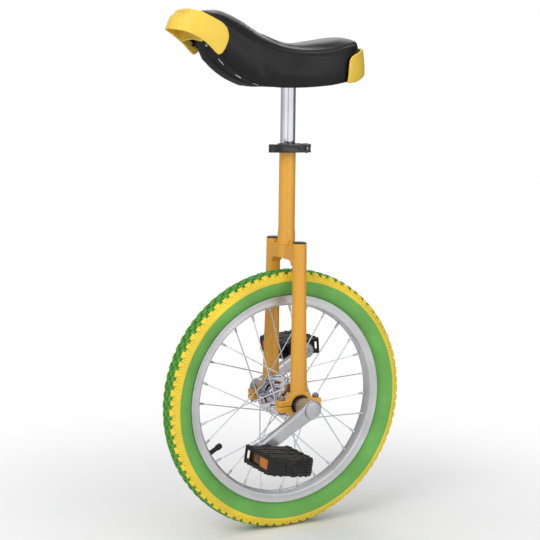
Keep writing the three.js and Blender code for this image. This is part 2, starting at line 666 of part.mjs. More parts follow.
function frame() {
  const holder = holderHalf(true).translate([0, 0, AXLE_HEIGHT]);
  const left = join(leg(0, LEG_FOOT, LEG_TOP), holder);
  const web = crownWeb();
  const outer = join(seatTube(), left, mirrored(left), web, mirrored(web));
  const bore = leg(LEG_WALL, LEG_FOOT + 16, LEG_TOP + 1);
  const tubeBore = upright(bar(SEAT_TUBE_BORE, SEAT_TUBE_BOTTOM - 1, SEAT_TUBE_TOP + 1));
  const slit = box(-SEAT_TUBE_RADIUS - 2, 0, -SEAT_TUBE_SLIT_HALF, SEAT_TUBE_SLIT_HALF,
    SEAT_TUBE_TOP - SEAT_TUBE_SLIT_LENGTH, SEAT_TUBE_TOP + 1);
  return cut(outer, bore, mirrored(bore), tubeBore, slit);
}

/** The plug sits on the open top of a leg, with a short spigot inside it. */
function legPlug() {
  const inside = LEG_RADIUS - LEG_WALL - GAP;
  const above = LEG_TOP + GAP;
  return upright(turned([[0, LEG_TOP - 9], [inside, LEG_TOP - 9], [inside, above], [LEG_RADIUS, above],
    [LEG_RADIUS, above + PLUG_HEIGHT * 0.6], [LEG_RADIUS - 1.2, above + PLUG_HEIGHT],
    [0, above + PLUG_HEIGHT]])).translate([0, LEG_TOP_OFFSET, 0]);
}

function capBolt(x) {
  const head = 5.6;
  const under = -EAR_HEIGHT - GAP;
  const top = EAR_HEIGHT + GAP + CAP_NUT_HEIGHT + 2;
  const body = join(bar(head, under - 4, under, 0, 6), bar(CAP_BOLT_RADIUS, under - 1, top, 0, 12));
  return upright(body).translate([x, BEARING_OFFSET, 0]);
}

function capNut(x) {
  const low = EAR_HEIGHT + GAP;
  const high = low + CAP_NUT_HEIGHT;
  const nut = cut(bar(CAP_NUT_RADIUS, low, high, 0, 6), bar(CAP_BOLT_HOLE, low - 1, high + 1, 0, 12));
  return upright(nut).translate([x, BEARING_OFFSET, 0]);
}

piece(unicycle, 'frame', frame(), paint);
for (const [name, side] of [['left', (body) => body], ['right', mirrored]]) {
  piece(unicycle, `${name}_leg_plug`, side(legPlug()), blackPlastic);
  piece(wheel, `${name}_bearing_cap`, side(holderHalf(false)), paint);
  for (const [end, x] of [['front', EAR_BOLT_REACH], ['rear', -EAR_BOLT_REACH]]) {
    piece(wheel, `${name}_${end}_cap_bolt`, side(capBolt(x)), steel);
    piece(wheel, `${name}_${end}_cap_nut`, side(capNut(x)), steel);
  }
}

// ---------- seat clamp ----------

const clamp = new THREE.Group();
clamp.position.z = CLAMP_CENTRE;
unicycle.add(clamp);

/** A flat ear in the X-Z plane with a rounded end, from the collar to a reach behind it. */
function clampEar(reach, radius, y0, y1) {
  const shape = new THREE.Shape();
  shape.moveTo(-12, -radius);
  shape.lineTo(-12, radius);
  shape.lineTo(-reach, radius);
  shape.absarc(-reach, 0, radius, Math.PI / 2, (3 * Math.PI) / 2, false);
  return extrudedAlongY(shape, y0, y1, 8);
}

function seatClamp() {
  const half = CLAMP_HEIGHT / 2;
  const slit = 1.5;
  const collar = upright(bar(CLAMP_RADIUS, -half, half));
  const left = clampEar(CLAMP_EYE_REACH - 0.5, CLAMP_EYE_RADIUS, slit, 7);
  const right = clampEar(CLAMP_SKEWER_REACH + 1, CLAMP_EYE_RADIUS, -CLAMP_EAR_HALF, -slit);
  const pad = clampEar(CLAMP_SKEWER_REACH + 1, CLAMP_EYE_RADIUS, 6.5, CLAMP_EAR_HALF);
  const bore = upright(bar(SEAT_TUBE_RADIUS + GAP, -half - 1, half + 1));
  const split = box(-CLAMP_SKEWER_REACH - 12, 0, -slit, slit, -half - 1, half + 1);
  const skewerHole = bar(SKEWER_RADIUS + GAP, -20, 20, 0, 12).translate([-CLAMP_SKEWER_REACH, 0, 0]);
  const eye = bar(CLAMP_EYE_HOLE, 0, 20, 0, 12).translate([-CLAMP_EYE_REACH, 0, 0]);
  return cut(join(collar, left, right, pad), bore, split, skewerHole, eye);
}

/** The skewer runs through both ears, into the round nut on one side and to the pin on the other. */
function clampSkewer() {
  const end = LEVER_PIVOT_Y + 4.6;
  const body = join(
    bar(SKEWER_RADIUS, -CLAMP_EAR_HALF - 4, end - 2, 0, 12),
    box(-4.2, 4.2, LEVER_PIVOT_Y - 4.6, end, -2.6, 2.6),
  ).translate([-CLAMP_SKEWER_REACH, 0, 0]);
  const hole = upright(bar(LEVER_PIN_RADIUS + GAP, -10, 10, 0, 12));
  return body.subtract(hole.translate([LEVER_PIVOT_X, LEVER_PIVOT_Y, 0]));
}

function clampNut() {
  const face = -CLAMP_EAR_HALF - GAP;
  return turned([[0, face - 7], [5, face - 7], [6.4, face - 5.5], [6.4, face], [SKEWER_RADIUS + GAP, face],
    [SKEWER_RADIUS + GAP, face - 5], [0, face - 5]], 16).translate([-CLAMP_SKEWER_REACH, 0, 0]);
}

function clampWasher() {
  const face = CLAMP_EAR_HALF + GAP;
  return bar(7, face, face + 2, SKEWER_RADIUS + GAP, 20).translate([-CLAMP_SKEWER_REACH, 0, 0]);
}

function leverPin() {
  return upright(bar(LEVER_PIN_RADIUS, -8.4, 8.4, 0, 12)).translate([LEVER_PIVOT_X, LEVER_PIVOT_Y, 0]);
}

/** The lever's forked barrel turns on the pin, and its blade follows the collar forwards. */
function quickReleaseLever() {
  const barrel = upright(bar(7.4, -LEVER_HALF_HEIGHT, LEVER_HALF_HEIGHT, 0, 20))
    .translate([LEVER_PIVOT_X, LEVER_PIVOT_Y, 0]);
  const blade = outline([[-26, 26.5], [-14, 29.4], [0, 30.2], [12, 28.6], [24, 24], [34, 18.8], [42, 15.6],
    [43.6, 13.6], [42.4, 11.4], [39.4, 10.6], [28, 14], [18, 19.2], [8, 22.9], [-4, 24.2],
    [-16, 21.8], [-20, 19]]);
  const body = join(barrel, extrudedUp(blade, -LEVER_HALF_HEIGHT, LEVER_HALF_HEIGHT));
  const pinHole = upright(bar(LEVER_PIN_RADIUS + GAP, -10, 10, 0, 12))
    .translate([LEVER_PIVOT_X, LEVER_PIVOT_Y, 0]);
  const forkGap = box(LEVER_PIVOT_X - 12, LEVER_PIVOT_X + 7.5, LEVER_PIVOT_Y - 12, LEVER_PIVOT_Y + 7.5,
    -3, 3);
  return cut(body, pinHole, forkGap);
}

piece(clamp, 'seat_clamp', seatClamp(), blackMetal);
piece(clamp, 'clamp_skewer', clampSkewer(), steel);
piece(clamp, 'clamp_nut', clampNut(), blackMetal);
piece(clamp, 'clamp_washer', clampWasher(), blackMetal);
piece(clamp, 'lever_pin', leverPin(), steel);
piece(clamp, 'qr_lever', quickReleaseLever(), blackMetal);

// ---------- cranks ----------

/** The crank, drawn pointing forwards along +X from the axle, then turned to its angle. */
function crank() {
  const sections = [0, 1].map((t) => {
    const x = t * CRANK_LENGTH;
    const half = THREE.MathUtils.lerp(11.6, 10, t);
    const flare = (CRANK_EYE_OUTER - CRANK_OUTER) * t;
    const inner = CRANK_ARM_INNER + flare;
    const outer = CRANK_OUTER + flare - 0.6;
    const bevel = 3;
    return [[inner, -half + 1], [inner + 1, -half], [outer - bevel, -half], [outer, -half + bevel],
      [outer, half - bevel], [outer - bevel, half], [inner + 1, half], [inner, half - 1]]
      .map(([y, z]) => new THREE.Vector3(x, y, z));
  });
  const boss = turned([[0, CRANK_BOSS_INNER], [13.6, CRANK_BOSS_INNER], [14.6, CRANK_BOSS_INNER + 1.5],
    [CRANK_BOSS_RADIUS, CRANK_ARM_INNER], [CRANK_BOSS_RADIUS, CRANK_OUTER - 1.5],
    [CRANK_BOSS_RADIUS - 1.2, CRANK_OUTER], [0, CRANK_OUTER]]);
  const eye = bar(CRANK_EYE_RADIUS, CRANK_EYE_OUTER - 13, CRANK_EYE_OUTER)
    .translate([CRANK_LENGTH, 0, 0]);
  const taper = axleSquareHole();
  const boltWell = bar(CRANK_CAP_RADIUS - 1.5, AXLE_HALF_LENGTH + 1.5, CRANK_OUTER + 1);
  const eyeHole = bar(PEDAL_AXLE_RADIUS + GAP, CRANK_EYE_OUTER - 20, CRANK_EYE_OUTER + 10)
    .translate([CRANK_LENGTH, 0, 0]);
  return cut(join(lofted(sections), boss, eye), taper, boltWell, eyeHole);
}

/** The square hole of the crank, before the crank is turned, a little wider than the axle's square. */
function axleSquareHole() {
  const ring = (half, y) => [[half, half], [-half, half], [-half, -half], [half, -half]]
    .map(([x, z]) => new THREE.Vector3(x, y, z));
  const slope = (AXLE_SQUARE_TIP - AXLE_SQUARE_INNER) / (AXLE_HALF_LENGTH - AXLE_ROUND_HALF + 2);
  const at = (y) => AXLE_SQUARE_INNER + slope * (y - AXLE_ROUND_HALF + 2) + GAP;
  const from = CRANK_BOSS_INNER - 1;
  const to = AXLE_HALF_LENGTH + 4;
  const square = lofted([ring(at(from), from), ring(at(to), to)]);
  return join(square, bar(AXLE_RADIUS + GAP, from, AXLE_ROUND_HALF + GAP));
}

function crankBolt() {
  const seat = AXLE_HALF_LENGTH + 1.5 + GAP;
  return join(
    bar(9, seat, seat + 1.6, 0, 20),
    bar(7, seat + 1, seat + 5, 0, 6),
    bar(CRANK_BOLT_HOLE - GAP, AXLE_HALF_LENGTH - 18, seat + 1, 0, 12),
  );
}

function crankCap() {
  const inside = CRANK_CAP_RADIUS - 1.5 - GAP;
  const face = CRANK_OUTER + GAP;
  return turned([[0, face + 1.2], [CRANK_CAP_RADIUS - 0.6, face + 1.2], [CRANK_CAP_RADIUS, face],
    [inside, face], [inside, face - 1.6], [0, face - 1.6]]);
}

/** The pedal axle is screwed through the crank's eye and carries the pedal. */
function pedalAxle() {
  const flat = CRANK_EYE_OUTER + GAP;
  return join(
    bar(PEDAL_AXLE_RADIUS, CRANK_EYE_OUTER - 13, CRANK_EYE_OUTER + PEDAL_OUTER - 8, 0, 16),
    bar(8, flat, flat + 4, 0, 16),
  ).translate([CRANK_LENGTH, 0, 0]);
}

const toCrankAngle = (body) => body.rotate([0, -CRANK_ANGLE, 0]);
for (const [name, side] of [['left', (body) => body], ['right', (body) => mirrored(halfTurned(body))]]) {
  piece(wheel, `${name}_crank`, side(toCrankAngle(crank())), aluminium);
  piece(wheel, `${name}_crank_bolt`, side(crankBolt()), steel);
  piece(wheel, `${name}_crank_cap`, side(crankCap()), aluminium);
  piece(wheel, `${name}_pedal_axle`, side(toCrankAngle(pedalAxle())), steel);
}

// ---------- pedals ----------

/** The pedal body about its own axle: +X is its front edge and +Y points away from the crank. */
function pedalBody() {
  const plan = new THREE.Shape();
  plan.moveTo(PEDAL_HALF_LENGTH, PEDAL_INNER);
  plan.lineTo(PEDAL_HALF_LENGTH, PEDAL_CORNER);
  plan.quadraticCurveTo(20, PEDAL_OUTER, 0, PEDAL_OUTER);
  plan.quadraticCurveTo(-20, PEDAL_OUTER, -PEDAL_HALF_LENGTH, PEDAL_CORNER);
  plan.lineTo(-PEDAL_HALF_LENGTH, PEDAL_INNER);
  const barrelSide = PEDAL_BARREL_RADIUS - 1;
  const plateSide = PEDAL_HALF_LENGTH - PEDAL_WALL - 1;
  const rib = (PEDAL_INNER + PEDAL_CORNER) / 2;
  const deep = PEDAL_HALF_HEIGHT + 1;
  let cage = extrudedUp(plan, -PEDAL_HALF_HEIGHT, PEDAL_HALF_HEIGHT, 4);
  for (const [y0, y1] of [[PEDAL_INNER + 5, rib - 3], [rib + 3, PEDAL_CORNER - 5]]) {
    const opening = box(barrelSide, plateSide, y0, y1, -deep, deep);
    cage = cut(cage, opening, opening.mirror([1, 0, 0]));
  }
  const barrel = join(
    bar(PEDAL_BARREL_RADIUS, PEDAL_INNER - 1.5, PEDAL_OUTER),
    bar(PEDAL_BOSS_RADIUS, PEDAL_INNER - 2, PEDAL_INNER + 7),
  );
  let body = join(cage, barrel);
  body = cut(body, bar(PEDAL_AXLE_RADIUS + GAP, 0, PEDAL_OUTER - 6, 0, 16),
    bar(8 + GAP, 0, PEDAL_INNER + 0.5, 0, 16));
  for (const side of [1, -1]) {
    const front = side * (PEDAL_HALF_LENGTH + 1);
    const back = side * (PEDAL_HALF_LENGTH - PEDAL_WALL - 2);
    const x0 = Math.min(front, back);
    const x1 = Math.max(front, back);
    body = cut(
      body,
      box(x0, x1, PEDAL_INNER + 5, REFLECTOR_FROM - 3, -REFLECTOR_HALF_HEIGHT, REFLECTOR_HALF_HEIGHT),
      box(side > 0 ? PEDAL_HALF_LENGTH - REFLECTOR_DEPTH - 1 : x0, side > 0 ? x1 : -(PEDAL_HALF_LENGTH
        - REFLECTOR_DEPTH - 1), REFLECTOR_FROM - GAP, REFLECTOR_TO + GAP, -REFLECTOR_HALF_HEIGHT - GAP,
      REFLECTOR_HALF_HEIGHT + GAP),
    );
  }
  const capSeat = bar(PEDAL_BARREL_RADIUS - 1.4, PEDAL_OUTER - 3, PEDAL_OUTER + 1);
  return cut(body, capSeat);
}

function pedalReflector(side) {
  const outer = PEDAL_HALF_LENGTH - 1;
  const x0 = outer - REFLECTOR_DEPTH + 0.5;
  const slab = box(x0, outer, REFLECTOR_FROM, REFLECTOR_TO, -REFLECTOR_HALF_HEIGHT, REFLECTOR_HALF_HEIGHT);
  return side > 0 ? slab : slab.mirror([1, 0, 0]);
}

function pedalCap() {
  const inside = PEDAL_BARREL_RADIUS - 1.4 - GAP;
  const face = PEDAL_OUTER + GAP;
  return turned([[0, face + 4.4], [9, face + 3.6], [12, face + 1.6], [12.4, face], [inside, face],
    [inside, face - 2], [0, face - 2]]);
}

const eyeX = CRANK_LENGTH * Math.cos(degrees(CRANK_ANGLE));
const eyeZ = CRANK_LENGTH * Math.sin(degrees(CRANK_ANGLE));
for (const [name, side, pitch] of [['left', 1, LEFT_PEDAL_PITCH], ['right', -1, RIGHT_PEDAL_PITCH]]) {
  const pedal = new THREE.Group();
  pedal.position.set(side * eyeX, side * CRANK_EYE_OUTER, side * eyeZ);
  pedal.rotation.y = -degrees(pitch);
  wheel.add(pedal);
  const handed = (body) => (side > 0 ? body : mirrored(body));
  piece(pedal, `${name}_pedal_body`, handed(pedalBody()), blackPlastic);
  piece(pedal, `${name}_pedal_front_reflector`, handed(pedalReflector(1)), amber);
  piece(pedal, `${name}_pedal_rear_reflector`, handed(pedalReflector(-1)), amber);
  piece(pedal, `${name}_pedal_end_cap`, handed(pedalCap()), blackPlastic);
}

// ---------- seat post ----------

/** The underside of the base where the post's plate meets it. */
const BASE_PLATE_UNDER = BASE_UNDER + BASE_HEIGHT - BASE_WALL;
const PLATE_TOP = BASE_PLATE_UNDER - GAP - BASE_BOLT_BITE;

function seatPost() {
  const plateBottom = PLATE_TOP - POST_PLATE_THICKNESS;
  let plate = box(-POST_PLATE_HALF_LENGTH, POST_PLATE_HALF_LENGTH, -POST_PLATE_HALF_WIDTH,
    POST_PLATE_HALF_WIDTH, plateBottom, PLATE_TOP);
  for (const x of [SADDLE_BOLT_X, -SADDLE_BOLT_X]) {
    for (const y of [SADDLE_BOLT_Y, -SADDLE_BOLT_Y]) {
      const hole = upright(bar(SADDLE_BOLT_RADIUS + GAP, plateBottom - 1, PLATE_TOP + 1, 0, 12));
      plate = plate.subtract(hole.translate([x, y, 0]));
    }
  }
  const tube = upright(bar(POST_RADIUS, POST_BOTTOM, plateBottom + 1));
  const hollow = upright(bar(POST_RADIUS - POST_WALL, POST_BOTTOM - 1, plateBottom - 2));
  return cut(join(tube, plate), hollow);
}

piece(unicycle, 'seat_post', seatPost(), chrome);

// ---------- saddle ----------

/**
 * A section across the saddle, anticlockwise from low on the right: sides that swell out from z0 up to
 * a soft seam, and a crowned top between the two seams. Each pair is a share of the half width and a
 * share of the height from z0 to the seam (first list) or from the seam to the top (second list).
 */
const SIDE_SHAPE = [[0.55, 0], [0.86, 0.1], [0.97, 0.3], [1, 0.55], [0.985, 0.8], [0.93, 1]];
const CROWN_SHAPE = [[0.62, 0.62], [0.22, 1]];
function section(x, w, z0, seam, top) {
  const half = [
    ...SIDE_SHAPE.map(([out, up]) => [out * w, z0 + up * (seam - z0)]),
    ...CROWN_SHAPE.map(([out, up]) => [out * w, seam + up * (top - seam)]),
  ];
  const other = half.map(([y, z]) => [-y, z]).reverse();
  return [...half, ...other].map(([y, z]) => new THREE.Vector3(x, y, z));
}

/** How far along the saddle a station lies once the skin is drawn in by an inset: only the ends move. */
function drawnIn(x, inset) {
  const limit = x > 0 ? NOSE_DRAWN_FROM : TAIL_DRAWN_FROM;
  const last = x > 0 ? SADDLE_STATIONS[0].x : SADDLE_STATIONS[SADDLE_STATIONS.length - 1].x;
  const end = (x - limit) / (last - limit);
  return x - Math.sign(x) * inset * THREE.MathUtils.clamp(end, 0, 1);
}

/**
 * A rounded block with the saddle's outline, drawn in by an inset. It reaches below the cover's edge,
 * so that the sides lean in a little where the edge cuts it off.
 */
function saddleBlock(inset) {
  return lofted(SADDLE_STATIONS.map(({ x, half, top, seam, skirt }) => section(
    drawnIn(x, inset),
    half - inset,
    skirt - ROLL_UNDER + inset,
    seam - inset,
    top - inset,
  )));
}

/** Everything below a surface that is straight across and follows the stations along the saddle. */
function below(height) {
  const line = SADDLE_STATIONS.map((station) => [station.x, height(station)]);
  const [front, rear] = [line[0], line[line.length - 1]];
  return extrudedAlongY(
    outline([[front[0] + 60, front[1]], ...line, [rear[0] - 60, rear[1]], [rear[0] - 60, 600],
      [front[0] + 60, 600]]),
    -120,
    120,
  );
}

/** Skins sections across the saddle, each given for a station as its left half from low to high. */
function loftedAcross(inset, halfSection) {
  return lofted(SADDLE_STATIONS.map((at) => {
    const half = halfSection(at);
    const other = half.map(([y, z]) => [-y, z]).reverse();
    return [...half, ...other].map(([y, z]) => new THREE.Vector3(drawnIn(at.x, inset), y, z));
  }));
}

/** Half widths of the base's floor and sides at a station, and the height where its flanks meet the sides. */
function baseHalf({ half, skirt, under, floor }) {
  const wide = Math.max(half - BASE_INSET, 1);
  return { wide, narrow: Math.min(floor, wide - 0.2), shoulder: Math.max(skirt - 1, under + 1) };
}

/** The base as a block: upright at the back, and at the front with flanks that slope in to a narrow floor. */
function baseBlock() {
  return loftedAcross(BASE_INSET, (at) => {
    const { wide, narrow, shoulder } = baseHalf(at);
    return [[narrow, at.under], [wide, shoulder], [wide, at.top]];
  });
}

/** The room inside the base, which leaves a wall of one thickness and is open along the floor. */
function baseRoom() {
  return loftedAcross(BASE_INSET + BASE_WALL, (at) => {
    const { wide, narrow, shoulder } = baseHalf(at);
    const slope = (wide - narrow) / (shoulder - at.under);
    const shift = BASE_WALL * Math.hypot(1, slope);
    const drop = Math.min(ROOM_DROP, (narrow - shift - 0.5) / slope);
    const inner = Math.max(wide - BASE_WALL, 1);
    const bend = shoulder + (shift - BASE_WALL) / slope;
    const foot = Math.min(Math.max(narrow - shift - drop * slope, 0.5), inner - 0.2);
    return [[foot, Math.min(at.under - drop, bend - 0.5)], [inner, bend], [inner, at.top]];
  });
}

const baseTop = ({ under, skirt }) => Math.max(under + BASE_HEIGHT, skirt + BASE_LAP);

/** The cover is a skin over the foam that hangs down past it, round the sides of the base. */
function saddleCover() {
  return cut(saddleBlock(0), saddleBlock(COVER_THICKNESS), below(({ skirt }) => skirt + 1));
}

/** The base under the padding: a stiff tray, open below, that follows the saddle's underside. */
function saddleBase() {
  const room = baseRoom().intersect(below((at) => baseTop(at) - BASE_WALL));
  let base = baseBlock().intersect(below(baseTop)).subtract(room);
  for (const x of [SADDLE_BOLT_X, -SADDLE_BOLT_X]) {
    for (const y of [SADDLE_BOLT_Y, -SADDLE_BOLT_Y]) {
      const hole = bar(SADDLE_BOLT_RADIUS + GAP, BASE_UNDER, BASE_UNDER + 2 * BASE_HEIGHT, 0, 12);
      base = base.subtract(upright(hole).translate([x, y, 0]));
    }
  }
  return base;
}

function saddleFoam() {
  return saddleBlock(COVER_THICKNESS + 0.5).subtract(below((at) => baseTop(at) + 0.6));
}

function saddleBolt(x, y) {
  const plateBottom = PLATE_TOP - POST_PLATE_THICKNESS;
  const head = plateBottom - GAP;
  const top = BASE_PLATE_UNDER + BASE_BOLT_BITE;
  return upright(join(
    bar(5.6, head - 4, head, 0, 6),
    bar(SADDLE_BOLT_RADIUS, head - 1, top, 0, 12),
  )).translate([x, y, 0]);
}

/** A bumper outline as seen from above, drawn in by an inset, between the heights of the whole bumper. */
function bumperPlan(inset) {
  const half = [[128, BUMPER_HALF_WIDTH], [150, BUMPER_HALF_WIDTH], [BUMPER_ROUND_FROM, 48.5], [190, 44.5],
    [205, 36], [215, 27], [222, 14], [BUMPER_NOSE, 0]];
  const edge = half.map(([x, y]) => [
    x - (inset * Math.max(x - BUMPER_ROUND_FROM, 0)) / (BUMPER_NOSE - BUMPER_ROUND_FROM),
    Math.max(y - inset, 0),
  ]);
  const other = edge.slice(0, -1).map(([x, y]) => [x, -y]).reverse();
  return extrudedUp(outline([...edge, ...other]), BUMPER_LOW, BUMPER_HIGH);
}

/** A block along the saddle whose section, seen from the front, is an outline of [y, z] points. */
function alongX(points, from, to) {
  return lofted([from, to].map((x) => points.map(([y, z]) => new THREE.Vector3(x, y, z))));
}

/**
 * The front bumper is a visor round the nose: two flaps, a sloping top, and a web just in front of the
 * padding. Below it is an arch for the fingers.
 */
function frontBumper() {
  const side = [[135.6, 852], [141, 863], [155, 872], [173, 881], [179, 888], [188, 891], [203, 886.5],
    [218, 878.5], [BUMPER_NOSE, 868], [BUMPER_NOSE, 858], [221, 855], [212, 854.5], [202, 852], [190, 845],
    [177, 836], [165, 827], [156, 818.5], [151, 819.5], [148, 825], [139, 838]];
  const crown = alongX([[50, BUMPER_LOW], [51, 872], [46, 880], [36, 886], [20, 891], [-20, 891],
    [-36, 886], [-46, 880], [-51, 872], [-50, BUMPER_LOW]], 120, 240);
  const block = extrudedAlongY(outline(side), -60, 60).intersect(bumperPlan(0)).intersect(crown);
  const roof = [[WEB_FRONT, 884], [188, 886.5], [202, 882], [215, 874.5], [219, 866], [240, 850],
    [240, BUMPER_LOW], [WEB_FRONT, BUMPER_LOW]];
  const fingers = extrudedAlongY(outline(roof), -60, 60).intersect(bumperPlan(BUMPER_THICKNESS));
  const arch = alongX([[ARCH_HALF_WIDTH, BUMPER_LOW], [ARCH_HALF_WIDTH, ARCH_FOOT], [30, 839], [12, 842],
    [-12, 842], [-30, 839], [-ARCH_HALF_WIDTH, ARCH_FOOT], [-ARCH_HALF_WIDTH, BUMPER_LOW]],
  WEB_BACK - 1, WEB_FRONT + 1);
  const behind = box(120, WEB_BACK, -ARCH_HALF_WIDTH, ARCH_HALF_WIDTH, BUMPER_LOW, 850);
  return cut(block, saddleBlock(-GAP - 0.2), fingers, arch, behind);
}

/** The rear bumper is a thick band round the tail. */
function rearBumper() {
  const keep = extrudedAlongY(outline([[-70, 773], [-70, 806], [-72, 813], [-77, 818.5], [-90, 823.5],
    [-115, 830], [-145, 835], [-145, 789], [-128, 786], [-110, 781], [-90, 775]]), -90, 90);
  return cut(saddleBlock(-BUMPER_THICKNESS - 0.7).intersect(keep), saddleBlock(-GAP - 0.2));
}

piece(unicycle, 'saddle_base', saddleBase(), blackPlastic);
piece(unicycle, 'saddle_foam', saddleFoam(), foam);
piece(unicycle, 'saddle_cover', saddleCover(), vinyl);
piece(unicycle, 'front_bumper', frontBumper(), yellowPlastic);
piece(unicycle, 'rear_bumper', rearBumper(), yellowPlastic);
for (const [end, x] of [['front', SADDLE_BOLT_X], ['rear', -SADDLE_BOLT_X]]) {
  for (const [name, y] of [['left', SADDLE_BOLT_Y], ['right', -SADDLE_BOLT_Y]]) {
    piece(unicycle, `${end}_${name}_saddle_bolt`, saddleBolt(x, y), steel);
  }
}

export default unicycle;
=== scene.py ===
"""The looks of the unicycle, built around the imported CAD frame. All lengths are in metres."""

import json
import math
import random
from collections import namedtuple

import bmesh
import bpy
import numpy as np
from mathutils import Matrix, Vector
from mathutils.geometry import tessellate_polygon


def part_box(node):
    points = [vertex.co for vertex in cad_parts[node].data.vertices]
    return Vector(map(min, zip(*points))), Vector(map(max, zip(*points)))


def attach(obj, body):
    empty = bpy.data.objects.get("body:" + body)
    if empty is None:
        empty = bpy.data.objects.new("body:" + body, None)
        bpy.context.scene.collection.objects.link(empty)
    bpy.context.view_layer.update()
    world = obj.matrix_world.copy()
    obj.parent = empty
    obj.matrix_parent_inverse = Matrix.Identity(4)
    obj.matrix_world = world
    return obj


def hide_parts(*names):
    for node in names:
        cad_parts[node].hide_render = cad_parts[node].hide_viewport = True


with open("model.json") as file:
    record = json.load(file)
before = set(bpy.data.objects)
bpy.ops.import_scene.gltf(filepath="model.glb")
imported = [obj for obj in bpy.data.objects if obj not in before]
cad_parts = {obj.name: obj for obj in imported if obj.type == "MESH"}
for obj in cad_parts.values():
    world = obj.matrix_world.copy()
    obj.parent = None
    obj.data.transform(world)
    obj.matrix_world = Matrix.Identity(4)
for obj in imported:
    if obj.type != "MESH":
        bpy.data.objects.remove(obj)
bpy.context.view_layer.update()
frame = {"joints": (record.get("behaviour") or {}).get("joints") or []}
random.seed(7)

TURN = 2 * math.pi
SIDES = (("left", 1), ("right", -1))


def centre_of(node):
    low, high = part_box(node)
    return (low + high) / 2


AXLE_Z = centre_of("hub_shell").z
BEARING_Y = centre_of("left_bearing_outer_ring").y
CLAMP_Z = centre_of("seat_clamp").z
TUBE_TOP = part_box("seat_clamp")[1].z - 0.0006
LEG_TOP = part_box("left_leg_plug")[1].z - 0.002
POST_LOW, POST_HIGH = (corner.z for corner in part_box("seat_post"))
LEFT_EYE = Vector(next(j["pos_m"] for j in frame["joints"] if j["name"] == "left_pedal_spin"))
RIGHT_EYE = Vector(next(j["pos_m"] for j in frame["joints"] if j["name"] == "right_pedal_spin"))
CRANK_ANGLE = math.atan2(LEFT_EYE.z - AXLE_Z, LEFT_EYE.x)
CRANK_LENGTH = math.hypot(LEFT_EYE.z - AXLE_Z, LEFT_EYE.x)


# ---------------------------------------------------------------- materials

def linear(red, green, blue):
    """Turns 0-255 screen colour into the linear colour that shaders use."""
    out = []
    for channel in (red, green, blue):
        c = channel / 255
        out.append(c / 12.92 if c <= 0.04045 else ((c + 0.055) / 1.055) ** 2.4)
    return (*out, 1.0)


class Nodes:
    """A node tree with short ways to add to it."""

    def __init__(self, owner):
        owner.use_nodes = True
        self.nodes = owner.node_tree.nodes
        self.links = owner.node_tree.links

    def add(self, kind, **settings):
        node = self.nodes.new("ShaderNode" + kind)
        for key, value in settings.items():
            setattr(node, key, value)
        return node

    def join(self, value, slot):
        """Feeds an input from another node's output or with a plain value."""
        if isinstance(value, (tuple, float, int)):
            slot.default_value = value
        else:
            self.links.new(value, slot)

    def math(self, operation, *values):
        node = self.add("Math", operation=operation)
        for value, slot in zip(values, node.inputs):
            self.join(value, slot)
        return node.outputs[0]

    def split(self, vector):
        node = self.add("SeparateXYZ")
        self.join(vector, node.inputs[0])
        return node.outputs

    def length(self, vector):
        node = self.add("VectorMath", operation="LENGTH")
        self.join(vector, node.inputs[0])
        return node.outputs["Value"]

    def remap(self, source, start, end, low=0.0, high=1.0, **settings):
        node = self.add("MapRange", **settings)
        for value, slot in zip((source, start, end, low, high), node.inputs):
            self.join(value, slot)
        return node.outputs["Result"]

    def ramp(self, source, stops):
        node = self.add("ValToRGB")
        elements = node.color_ramp.elements
        for index, (position, colour) in enumerate(stops):
            element = elements[index] if index < 2 else elements.new(position)
            element.position = position
            element.color = colour
        self.join(source, node.inputs["Fac"])
        return node.outputs["Color"]

    def mix(self, share, first, second):
        node = self.add("Mix", data_type="RGBA")
        for value, slot in ((share, node.inputs[0]), (first, node.inputs[6]), (second, node.inputs[7])):
            self.join(value, slot)
        return node.outputs[2]

    def blend(self, share, first, second):
        """One shader fading into another."""
        node = self.add("MixShader")
        for value, slot in zip((share, first, second), node.inputs):
            self.join(value, slot)
        return node.outputs[0]


class Shader(Nodes):
    """A material whose patterns lie fixed in the object's own space."""

    def __init__(self, name):
        self.material = bpy.data.materials.new(name)
        super().__init__(self.material)
        self.surface = self.nodes["Principled BSDF"]
        self.place = self.add("TexCoord").outputs["Object"]

    def noise(self, scale, detail=4.0, stretch=(1, 1, 1)):
        mapping = self.add("Mapping")
        self.join(stretch, mapping.inputs["Scale"])
        self.join(self.place, mapping.inputs["Vector"])
        node = self.add("TexNoise")
        self.join(scale, node.inputs["Scale"])
        self.join(detail, node.inputs["Detail"])
        self.join(mapping.outputs["Vector"], node.inputs["Vector"])
        return node.outputs["Fac"]

    def cells(self, scale):
        node = self.add("TexVoronoi")
        self.join(scale, node.inputs["Scale"])
        self.join(self.place, node.inputs["Vector"])
        return node.outputs["Distance"]

    def spread(self, source, low, high):
        return self.remap(source, 0.0, 1.0, low, high)

    def bump(self, height, strength, distance, under=None):
        node = self.add("Bump")
        self.join(strength, node.inputs["Strength"])
        self.join(distance, node.inputs["Distance"])
        self.join(height, node.inputs["Height"])
        if under is not None:
            self.join(under, node.inputs["Normal"])
        return node.outputs["Normal"]

    def edges(self, low=0.515, high=0.6):
        """How much a point lies on an outer edge, where wear shows first."""
        pointy = self.add("NewGeometry").outputs["Pointiness"]
        return self.ramp(pointy, [(low, (0, 0, 0, 1)), (high, (1, 1, 1, 1))])

    def set(self, **values):
        for key, value in values.items():
            self.join(value, self.surface.inputs[key.replace("_", " ")])


def shade(colour, factor):
    return (*(min(c * factor, 1.0) for c in colour[:3]), 1.0)


